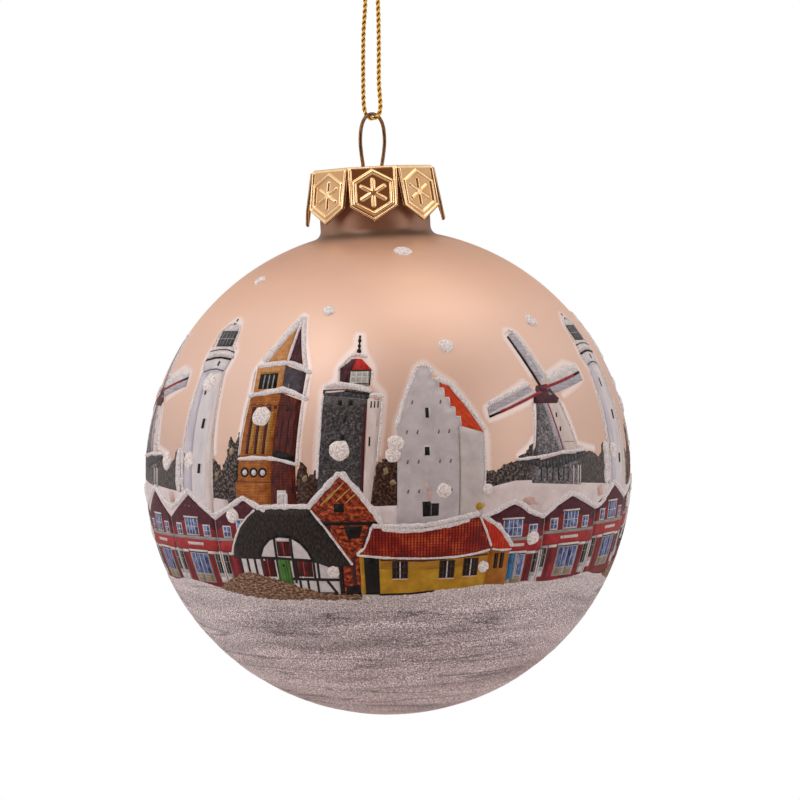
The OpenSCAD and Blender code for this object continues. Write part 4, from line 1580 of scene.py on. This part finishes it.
def draw_timber_gable(p):
    p.patch([(-19, -5), (-12, -5.4), (-11.5, -12.5), (-15, -9), (-17, -6.6)], "brick_dark", 4.6)
    p.patch([(-6, -5.4), (-1, -5.4), (-3.6, -7.2), (-6.3, -11), (-8, -11)], "brick_dark", 4.6)
    p.patch(
        [(-12.9, -5.6), (-4, -5.6), (-6.4, -10), (-6.8, -17.2), (-12.3, -17.2), (-12.6, -12)],
        "mixed_brick", 5
    )
    p.patch([(-17.6, -3.7), (-10.3, 1.9), (-1.2, -5.6), (-13.6, -5.9)], "gable_red", 5)
    p.patch([(-15.6, -4.6), (-13, -3), (-5, -3.2), (-2.6, -5.2), (-13.4, -5.5)], "mixed_brick", 5.4)
    boards = (
        ((-13.6, -2.4), (-9.6, 0.5)),
        ((-11.4, -2.4), (-8.1, -0.3)), ((-9.2, -2.6), (-7, -1.2)), ((-14.9, -3), (-11.5, -0.6))
    )
    for board in boards:
        p.line(board, 0.16, "board", 6)
    window(p, -10.8, -3.4, 2.2, 1.3, 6, "dark", None, 0, 0)
    p.line([(-15.2, -5.8), (-1.6, -5.8)], 0.5, "dark", 6)
    p.patch([(-9.9, -6.2), (-5.6, -6.2), (-6.4, -8), (-9, -8.2)], "dark", 6)
    p.line([(-12.6, -6.2), (-11, -8.4), (-8.8, -10.6)], 0.5, "gable_red", 6)
    p.line([(-8, -16.8), (-8.2, -11)], 0.7, "brick_dark", 6)
    p.line([(-10.8, -12.4), (-10.9, -16.8)], 0.3, "dark", 6)
    p.patch([(-10.5, -17.2), (-10.2, -15.6), (-7, -15.4), (-6.7, -17.2)], "dark", 6.2)


def draw_thatched_cottage(p):
    roof = [
        (-38.9, -11.5), (-38, -9.4), (-35.7, -6.8), (-31, -3.6), (-17.6, -3.4), (-14.1, -6.6),
        (-8.6, -12.3), (-14, -12.6)
    ]
    arch = [
        (-17.8, -11.6), (-18.6, -10.2), (-20.2, -8.9), (-22.4, -8), (-25.8, -7.9), (-28, -8.4),
        (-29.9, -9.6), (-31.2, -11.3)
    ]
    p.patch([(-39.4, -11), (-37.2, -11.2), (-37.2, -15), (-39.6, -15)], "clapboard", 6)
    p.patch(
        [(-37.3, -10.8), (-31.4, -10.6), (-29, -7.8), (-19.5, -7.8), (-17.5, -11), (-11.2, -12),
         (-11.4, -17), (-37.3, -17)],
        "plaster", 6
    )
    p.patch(roof + arch, "thatch", 8)
    p.line(
        [(-31, -11), (-29.9, -9.5), (-28, -8.3), (-25.8, -7.8), (-22.4, -7.9), (-20.2, -8.8),
         (-18.6, -10.1), (-17.6, -11.6)],
        0.4, "dark", 8.6
    )
    for x in (-37, -34.9, -32.8):
        p.line([(x, -11.2), (x, -14.2)], 0.44, "timber", 7.2)
    p.line(
        [(-37.2, -11.3), (-31.2, -11.3), (-26.5, -11.3), (-17.8, -11.6), (-11.2, -12.4)],
        0.44, "timber", 7.4
    )
    p.box(-29.3, -12.8, 3.8, 2.9, "dark_red_pane", 7)
    p.box(-20.1, -12.9, 4.2, 2.5, "dark_red_pane", 7)
    p.box(-24.6, -9.6, 3.3, 2.7, "dark_red_pane", 7)
    for x, z, h in ((-29.3, -12.8, 2.8), (-20.1, -12.9, 2.4), (-24.6, -9.9, 2)):
        p.line([(x, z - h / 2), (x, z + h / 2)], 0.18, "red", 7.8)
        for side in (-1, 1):
            p.line([(x + side * 0.9, z - h / 2), (x + side * 0.9, z + h / 2)], 0.1, "timber", 7.8)
    p.line([(-26.1, -8.4), (-23, -8.4)], 0.42, "frame", 8.8)
    for x in (-26.7, -22.6):
        p.line([(x, -8), (x, -15.2)], 0.42, "timber", 7.6)
    p.patch([(-26.5, -11.5), (-23.4, -11.5), (-23.3, -15.4), (-26.8, -15.2)], "green_door", 8)
    disc(p, -25.2, -12.4, 0.22, "dark", 8.8, 8)
    for x in (-22, -17.6, -16.6):
        p.line([(x, -11.7), (x, -14.6)], 0.4, "timber", 7.4)
    p.line([(-23.6, -14.5), (-11.3, -14.6)], 0.44, "timber", 7.8)
    for x in (-21.6, -19.6, -17.2, -11.5):
        p.line([(x, -14.5), (x, -17)], 0.4, "timber", 7.4)
    p.line([(-14.8, -14.7), (-12.6, -16.8)], 0.44, "timber", 7.6)
    p.line([(-17.2, -16.8), (-12.4, -16.8)], 0.4, "timber", 7.6)
    p.line([(-11.4, -12.3), (-11.5, -16.9)], 0.44, "timber", 8)
    p.box(-14, -13.4, 1.6, 1.2, "church", 7)
    mound = [
        (-46.4, -16.7), (-45.2, -16), (-42.5, -15.2), (-40, -14.6), (-37.6, -13.9), (-35.5, -13.6),
        (-33.2, -13.8), (-29.6, -14.4), (-25.4, -15), (-21.4, -15.9), (-17.1, -16.6), (-12.5, -16.9),
        (-6.8, -16.9), (-6.7, -17.7), (-18.4, -17.9), (-28.4, -18), (-37.4, -17.6)
    ]
    p.patch(ragged(mound, 9, 0.14, 0.4), "grass", 9)
    for az, z in ((-30.1, -11.6), (-20.6, -14.2), (-27.6, -14.6)):
        disc(p, az, z, 0.16, "frame", 9, 7)


def draw_yellow_house(p):
    p.patch(
        [(-6.7, -10.8), (-6.5, -17.8), (4.8, -17.8), (13.3, -17.4), (23.4, -16.8), (23.6, -10.6)],
        "yellow", 6
    )
    p.patch(
        [(-1.9, -11), (-1.9, -12.9), (6, -13.2), (15, -13), (23.2, -12.5), (23.5, -10.6)],
        "yellow_mid", 6.3
    )
    p.patch([(-1.9, -11), (-1.9, -12), (8, -12.3), (23.3, -11.7), (23.5, -10.6)], "yellow_shade", 6.6)
    p.line([(-1.9, -11.5), (8, -11.75), (23.4, -11.1)], 0.3, "sash_brown", 6.9)
    p.patch([(23.4, -10.4), (23.3, -16.6), (29, -16.4), (28.8, -10.4)], "ochre", 6.6)
    p.line([(23.4, -10.6), (23.3, -16)], 0.16, "yellow_shade", 7)
    p.patch([(-6.7, -10.8), (-6.4, -17.2), (-5.8, -17.2), (-5.9, -10.8)], "yellow", 7)
    p.patch([(-5.7, -11.1), (-5.6, -16.9), (-2.2, -16.9), (-2.2, -11.1)], "dark", 7)
    p.line([(-5.8, -16.9), (-2.2, -17), (4.8, -16.95), (11, -16.6)], 0.3, "dark", 7.4)
    p.line([(-6.4, -17.05), (-2.4, -17.1)], 0.2, "plaster", 7.8)
    for x, z in ((2.6, -13.1), (13.6, -13.2), (19.3, -13)):
        window(p, x, z, 3.3, 2.6, 7, "dark", "sash_brown", 0, 0, 0.14)
        p.line([(x, z - 1.3), (x, z + 1.3)], 0.2, "plaster", 8.4)
        for side in (-0.9, 0.9):
            p.line([(x + side, z - 1.3), (x + side, z + 1.3)], 0.12, "sash_brown", 8.2)
        for y in (z - 0.45, z + 0.45):
            p.line([(x - 1.6, y), (x + 1.6, y)], 0.1, "sash_brown", 8.2)
        p.line([(x - 1.9, z - 1.45), (x + 1.9, z - 1.45)], 0.18, "blush", 8.4)
    for x in (25.6, 27.1):
        p.box(x, -12.2, 1, 2.4, "dark", 7.4)
        p.line([(x, -13.4), (x, -11)], 0.1, "sash_brown", 8)
    p.patch(
        [(-6.5, -10.5), (-3.4, -6.2), (4.5, -6.8), (12.4, -6.4), (20.6, -5.3), (22.5, -7.6), (24, -10.3),
         (15.4, -11.3), (8.9, -11.3), (2.1, -11.2)],
        "pantile", 8
    )
    p.patch([(21, -5.3), (22.7, -7.6), (24.2, -10.1), (29.2, -10.4), (25.4, -7)], "pantile_lit", 8.4)


# Piece names with their drawing and the coat they start from.
PRINTS = [
    ("print_trees", draw_trees, 0), ("print_white_lighthouse", draw_white_lighthouse, 0),
    ("print_bell_tower", draw_bell_tower, 0), ("print_stone_lighthouse", draw_stone_lighthouse, 0),
    ("print_church", draw_church, 0), ("print_windmill", draw_windmill, 0),
    ("print_red_row", draw_red_row, 0), ("print_timber_gable", draw_timber_gable, 1.5),
    ("print_thatched_cottage", draw_thatched_cottage, 2), ("print_yellow_house", draw_yellow_house, 2),
]


def draw_village():
    for name, draw, base in PRINTS:
        paint = Paint(name, base=base)
        draw(paint)
        if draw is not draw_red_row:
            paint.repeat()
        paint.done(PALETTE, ["village_print"] if draw is draw_red_row else ())


draw_village()

# ------------------------------------------------------------------ halos and raised snow

# Outlines that carry a pale under-print, from the left foot over the top to the right foot.
HALOS = {
    "white_lighthouse": [
        (-54.2, 0), (-54, 8), (-53.6, 16.5), (-54.9, 19.3), (-54.2, 21), (-53.8, 23.8), (-51.8, 24.9),
        (-49.3, 25.8), (-46.2, 24.7), (-45, 22), (-42.8, 20.4), (-43.4, 18.6), (-44.3, 17), (-43.4, 10),
        (-42.7, 4)
    ],
    "bell_tower": [
        (-35.8, 4.5), (-34.4, 13.5), (-34.4, 17.8), (-31.8, 19.8), (-25, 26), (-23.9, 26.3), (-22.6, 23),
        (-19.3, 18), (-19.2, 14), (-20.1, 8), (-20.2, 3)
    ],
    "stone_lighthouse": [
        (-16, 1), (-15.4, 9), (-15.3, 14.6), (-12.2, 16), (-12, 18), (-9.4, 20), (-7.6, 21), (-7.5, 23),
        (-6, 23), (-5.6, 20.6), (-3, 18), (-2.8, 15.6), (-0.3, 13.8), (-0.9, 10), (-1.9, 4)
    ],
    "church": [
        (2, 5.6), (2, 9.2), (4.3, 13.2), (7.4, 17.9), (9.6, 18.6), (11.6, 17.4), (16, 15.3), (19.6, 11.8),
        (23, 7.6), (22.6, 1)
    ],
    "mill_body": [(29.6, 3.4), (33.6, 5.2), (36, 7), (37, 11.6), (38.8, 14.6)],
    "mill_body_right": [(45.6, 12.2), (47.4, 8.4), (48.8, 5.2), (53, 4.6), (56.4, 4.2)],
    "blade_up": [(38.7, 15.4), (34.1, 22.2), (35.4, 23.4), (38.4, 22.9), (42.8, 16)],
    "blade_right": [(42.6, 16), (51.6, 18), (57.2, 17.2), (57.4, 15.2), (46, 12.6)],
    "blade_left": [(37.6, 12.5), (24, 9.5), (23.2, 11.4), (36.4, 15.6)],
}


def add_halos():
    halos = Paint("snow_halos")
    for points in HALOS.values():
        halos.ribbon(points, 1.9, "halo", 0.6)
    halos.repeat()
    halos.done(PALETTE)


# Raised snow: points in degrees and millimetres, then its width and height.
SNOW = [
    ([(-54, -2.4), (-54.3, 6), (-53.6, 13)], 0.7, 0.2),
    ([(-53.6, 13), (-53.4, 17.4), (-54.8, 19.2)], 0.35, 0.15),
    ([(-55.8, -1.6), (-56, 2.4), (-55.6, 5.4)], 1.7, 0.3),
    ([(-42.9, -2.8), (-43.3, 6), (-44, 14), (-44.6, 17.6)], 0.26, 0.14),
    ([(-54.2, 19.7), (-51, 20.2), (-47.5, 20.3), (-43.1, 19.9)], 0.5, 0.2),
    (
        [(-54, 21), (-53.7, 23.6), (-51.6, 24.7), (-49.2, 25.1), (-46.4, 24.6), (-45.4, 23.6),
         (-44.9, 21.6), (-43.2, 20.8)],
        0.42, 0.18
    ),
    ([(-35.6, 4), (-31, 4.2), (-26.4, 4.15), (-23.5, 3.8), (-20.1, 3.2)], 0.7, 0.24),
    ([(-34.9, 13.7), (-30, 14.2), (-25.3, 14.7), (-22, 14.1), (-18.4, 13.1)], 0.95, 0.28),
    ([(-34, 18.2), (-29, 18.6), (-24.8, 18.8), (-21.5, 18.1), (-18.3, 17.1)], 0.95, 0.28),
    ([(-32.6, 18.9), (-28.6, 22.3), (-24.6, 25.9)], 1.25, 0.28),
    ([(-25.4, 19), (-24.9, 22), (-24.4, 25.6)], 0.55, 0.22),
    ([(-24, 25.9), (-22.4, 22.4), (-20, 17.8)], 0.75, 0.24),
    ([(-35.4, 4.4), (-34.3, 13.4)], 0.3, 0.14),
    ([(-34, 14.2), (-34.4, 17.8)], 0.3, 0.14),
    ([(-20.3, 3.4), (-19.6, 12.9)], 0.45, 0.16),
    ([(-19.5, 13.6), (-19.1, 16.9)], 0.5, 0.18),
    ([(-24.9, -3.4), (-24.9, -1.4), (-23, -1.3), (-23, -3.4)], 0.55, 0.2),
    ([(-15.6, 1), (-15.1, 8), (-15, 13.6)], 0.45, 0.16),
    ([(-14.9, 15.1), (-11.6, 15.4), (-8, 15.2), (-3.2, 14.3)], 0.95, 0.3),
    ([(-14.6, 14.2), (-12, 14.3), (-9.6, 14.4)], 0.3, 0.22),
    ([(-11.4, 15.8), (-11.6, 17.9), (-9.6, 19.2), (-8.6, 19.9)], 0.3, 0.14),
    ([(-9, 19.7), (-6.8, 19.9), (-4.4, 19.5)], 0.62, 0.26),
    ([(-3.3, 17.6), (-3.2, 15.8)], 0.4, 0.16),
    ([(-4, 13.6), (-2.4, 13.8), (-0.6, 13.5)], 0.7, 0.22),
    ([(-0.9, 12.8), (-1.3, 9), (-2.2, 3.6)], 0.4, 0.15),
    ([(2.1, 8.6), (4.2, 13), (7.3, 17.6)], 0.7, 0.16),
    ([(7.4, 17.9), (9.4, 18.2), (11.2, 17.8), (11.4, 16.8)], 0.6, 0.18),
    ([(11.8, 16.1), (15.4, 15.2), (18.8, 12.3), (22.8, 8)], 0.85, 0.26),
    ([(22.5, 7.4), (22.2, 2), (21.8, -2)], 0.35, 0.14),
    ([(37.7, 22.9), (40.2, 19.4), (42.5, 16.2)], 0.45, 0.18),
    ([(34.2, 22.6), (36, 23.2), (38, 23)], 0.45, 0.18),
    ([(42.8, 15.4), (47.5, 16.3), (52, 17.1), (56.8, 17)], 1.25, 0.24),
    ([(37.2, 15), (31, 13.6), (24.2, 12)], 0.85, 0.22),
    ([(30.2, 3.3), (36.9, 3.6), (43.3, 4.1), (51.9, 4.3)], 0.55, 0.22),
    ([(36.6, 12.2), (35.9, 8), (34.8, 4.6)], 0.4, 0.14),
    ([(45, 12.4), (46.8, 8.9), (48.6, 5), (51, 4.8)], 0.5, 0.16),
    ([(-39.4, -11.2), (-38, -9.2), (-35.7, -6.6), (-33.2, -4.9), (-30.8, -3.7)], 0.48, 0.24),
    ([(-31, -3.5), (-27, -3.3), (-22, -3.2), (-17.4, -3.2)], 1.0, 0.32),
    ([(-17.6, -3.5), (-14.1, -6.5), (-11, -9.6), (-8.2, -12.4)], 0.48, 0.24),
    ([(-18.2, -3.6), (-14.2, -0.6), (-10.4, 2.1)], 1.05, 0.3),
    ([(-10.4, 2.1), (-6.4, -1), (-3.4, -3.8), (-1.2, -6.1)], 1.05, 0.3),
    ([(-7.4, -10.7), (-5.4, -9.6), (-4.4, -8), (-3.6, -6.2)], 0.5, 0.22),
    (
        [(-3.8, -6.2), (0, -6.3), (4.6, -6.3), (8.6, -6.2), (12.4, -5.8), (16.4, -5.2), (20.8, -4.7)],
        0.9, 0.34
    ),
    ([(-1.6, -6.7), (2, -6.9), (5, -7), (8, -6.95), (11, -6.6), (15, -6.2), (18.6, -5.5)], 0.85, 0.34),
    (
        [(-7.4, -10.7), (-2, -11.1), (3.5, -11.3), (9.5, -11.4), (15.4, -11.3), (20.4, -10.9),
         (24, -10.3)],
        0.5, 0.28
    ),
    ([(20.8, -5.1), (22.6, -7.6), (24.1, -10)], 0.5, 0.3),
    ([(21, -4.9), (25.6, -6.8), (27.6, -8.4), (29.7, -10.2)], 0.85, 0.3),
    ([(24.1, -10.3), (26.8, -10.6), (29.6, -10.5)], 0.45, 0.24),
    ([(21.2, -12.6), (22.2, -12.4), (23.2, -12.9), (23.4, -13.5), (22.4, -13.8), (21.6, -13.3)], 0.7, 0.28),
]

# The snow on the gables of the red row, from left to right.
RIGHT_ROW = [
    (22, -5.2), (24.4, -4.6), (26.4, -3.9), (29.3, -3.1), (31.6, -3.7), (33.6, -4.8), (37.4, -5.7),
    (40, -4.5), (43, -3.2), (46, -2.4), (50, -3.2), (55.7, -4.9), (58, -4.6), (61.4, -2.9), (64.8, -1.3),
    (69, -2.7), (73.5, -3.8), (78, -2.6), (83.2, -1.1), (89, -3.4)
]
LEFT_ROW = [
    (22, -4.4), (29.5, -1.6), (38.3, -4.2), (47, -1.1), (51.5, -2.8), (56.5, -4.2), (60.5, -2.9),
    (64.6, -1.2), (68.5, -3), (73.5, -5), (77.5, -3.8), (82.3, -2), (88.4, -4)
]
ROW_SNOW = [RIGHT_ROW, RIGHT_ROW, LEFT_ROW]
ROW_WIDTH, ROW_HEIGHT = 0.95, 0.3


def add_snow():
    snow = Paint("snow_raised", seed=11)
    for turn, row in zip(TURNS, ROW_SNOW):
        for points, width, height in SNOW + [(row, ROW_WIDTH, ROW_HEIGHT)]:
            snow.bead([(az + turn, z) for az, z in points], width, height, "snow")
    snow.done(PALETTE)


add_halos()
add_snow()

# ------------------------------------------------------------------ studio


def add_light(name, at, aim, size, power, colour=(1, 1, 1)):
    data = bpy.data.lights.new(name, "AREA")
    data.shape, data.size, data.size_y = "RECTANGLE", size[0], size[1]
    data.energy, data.color = power, colour
    light = bpy.data.objects.new(name, data)
    way = (Vector(aim) - Vector(at)).normalized()
    light.matrix_world = Matrix.Translation(at) @ way.to_track_quat("-Z", "Y").to_matrix().to_4x4()
    bpy.context.scene.collection.objects.link(light)


def floor_paper():
    """White paper, lit so far that it shows no shade."""
    n = Nodes("floor_paper")
    fibre = n.noise(n.coords(), 0.02)
    n.finish(n.ramp(fibre, [(0.3, "f4f4f4"), (0.7, "ffffff")]), n.range(fibre, 0.8, 0.95))
    glow = n.add("ShaderNodeEmission", Strength=1.0)
    seen_or_lit(n.tree, n.shader.outputs["BSDF"], glow.outputs["Emission"], "Material Output")
    return n.material


def add_studio():
    """A floor far below the hanging ball, four soft lights and a tent of cloth round it."""
    floor_z = -1.3
    bm = bmesh.new()
    bmesh.ops.create_grid(bm, x_segments=8, y_segments=8, size=3000)
    bm.transform(Matrix.Translation((0, 0, floor_z / MM)))
    floor = mesh_object("floor", bm, [floor_paper()])
    middle = CENTRE * MM
    add_light("key_left", middle + Vector((-0.62, -0.42, 0.22)), middle, (0.3, 0.6), 1.45)
    add_light("key_high", middle + Vector((-0.3, -0.34, 0.6)), middle, (0.4, 0.4), 1.2)
    add_light("fill_right", middle + Vector((0.6, -0.35, 0.1)), middle, (0.3, 0.6), 1.0)
    add_light("top", middle + Vector((0.22, -0.06, 0.66)), middle, (0.5, 0.4), 0.7, (1.0, 0.9, 0.76))
    light_tent()
    bpy.context.scene.view_settings.view_transform = "Standard"


def seen_or_lit(tree, lit, seen, output):
    """Shows the camera one shader, and lights the scene with the other."""
    choice = tree.nodes.new("ShaderNodeMixShader")
    rays = tree.nodes.new("ShaderNodeLightPath")
    tree.links.new(rays.outputs["Is Camera Ray"], choice.inputs["Fac"])
    tree.links.new(lit, choice.inputs[1])
    tree.links.new(seen, choice.inputs[2])
    tree.links.new(choice.outputs["Shader"], tree.nodes[output].inputs["Surface"])


def light_tent():
    """White cloth at the back and sides, dark round the camera; plain white where it is seen itself."""
    world = bpy.data.worlds.new("studio")
    bpy.context.scene.world = world
    world.use_nodes = True
    tree = world.node_tree
    cloth = tree.nodes["Background"]
    where = tree.nodes.new("ShaderNodeSeparateXYZ")
    tree.links.new(tree.nodes.new("ShaderNodeTexCoord").outputs["Generated"], where.inputs[0])
    depth = tree.nodes.new("ShaderNodeMapRange")
    depth.inputs["From Min"].default_value = -1
    tree.links.new(where.outputs["Y"], depth.inputs["Value"])
    shade = tree.nodes.new("ShaderNodeValToRGB")
    room = ((0.02, (0.2, 0.1, 0.06, 1)), (0.3, (0.32, 0.2, 0.14, 1)), (0.47, (1.0, 0.97, 0.96, 1)),
            (0.65, (0.95, 0.9, 0.88, 1)), (0.9, (0.58, 0.47, 0.42, 1)))
    set_stops(shade, room)
    tree.links.new(depth.outputs["Result"], shade.inputs["Fac"])
    tree.links.new(shade.outputs["Color"], cloth.inputs["Color"])
    cloth.inputs["Strength"].default_value = 1.0
    paper = tree.nodes.new("ShaderNodeBackground")
    paper.inputs["Color"].default_value = WHITE
    seen_or_lit(tree, cloth.outputs["Background"], paper.outputs["Background"], "World Output")


add_studio()
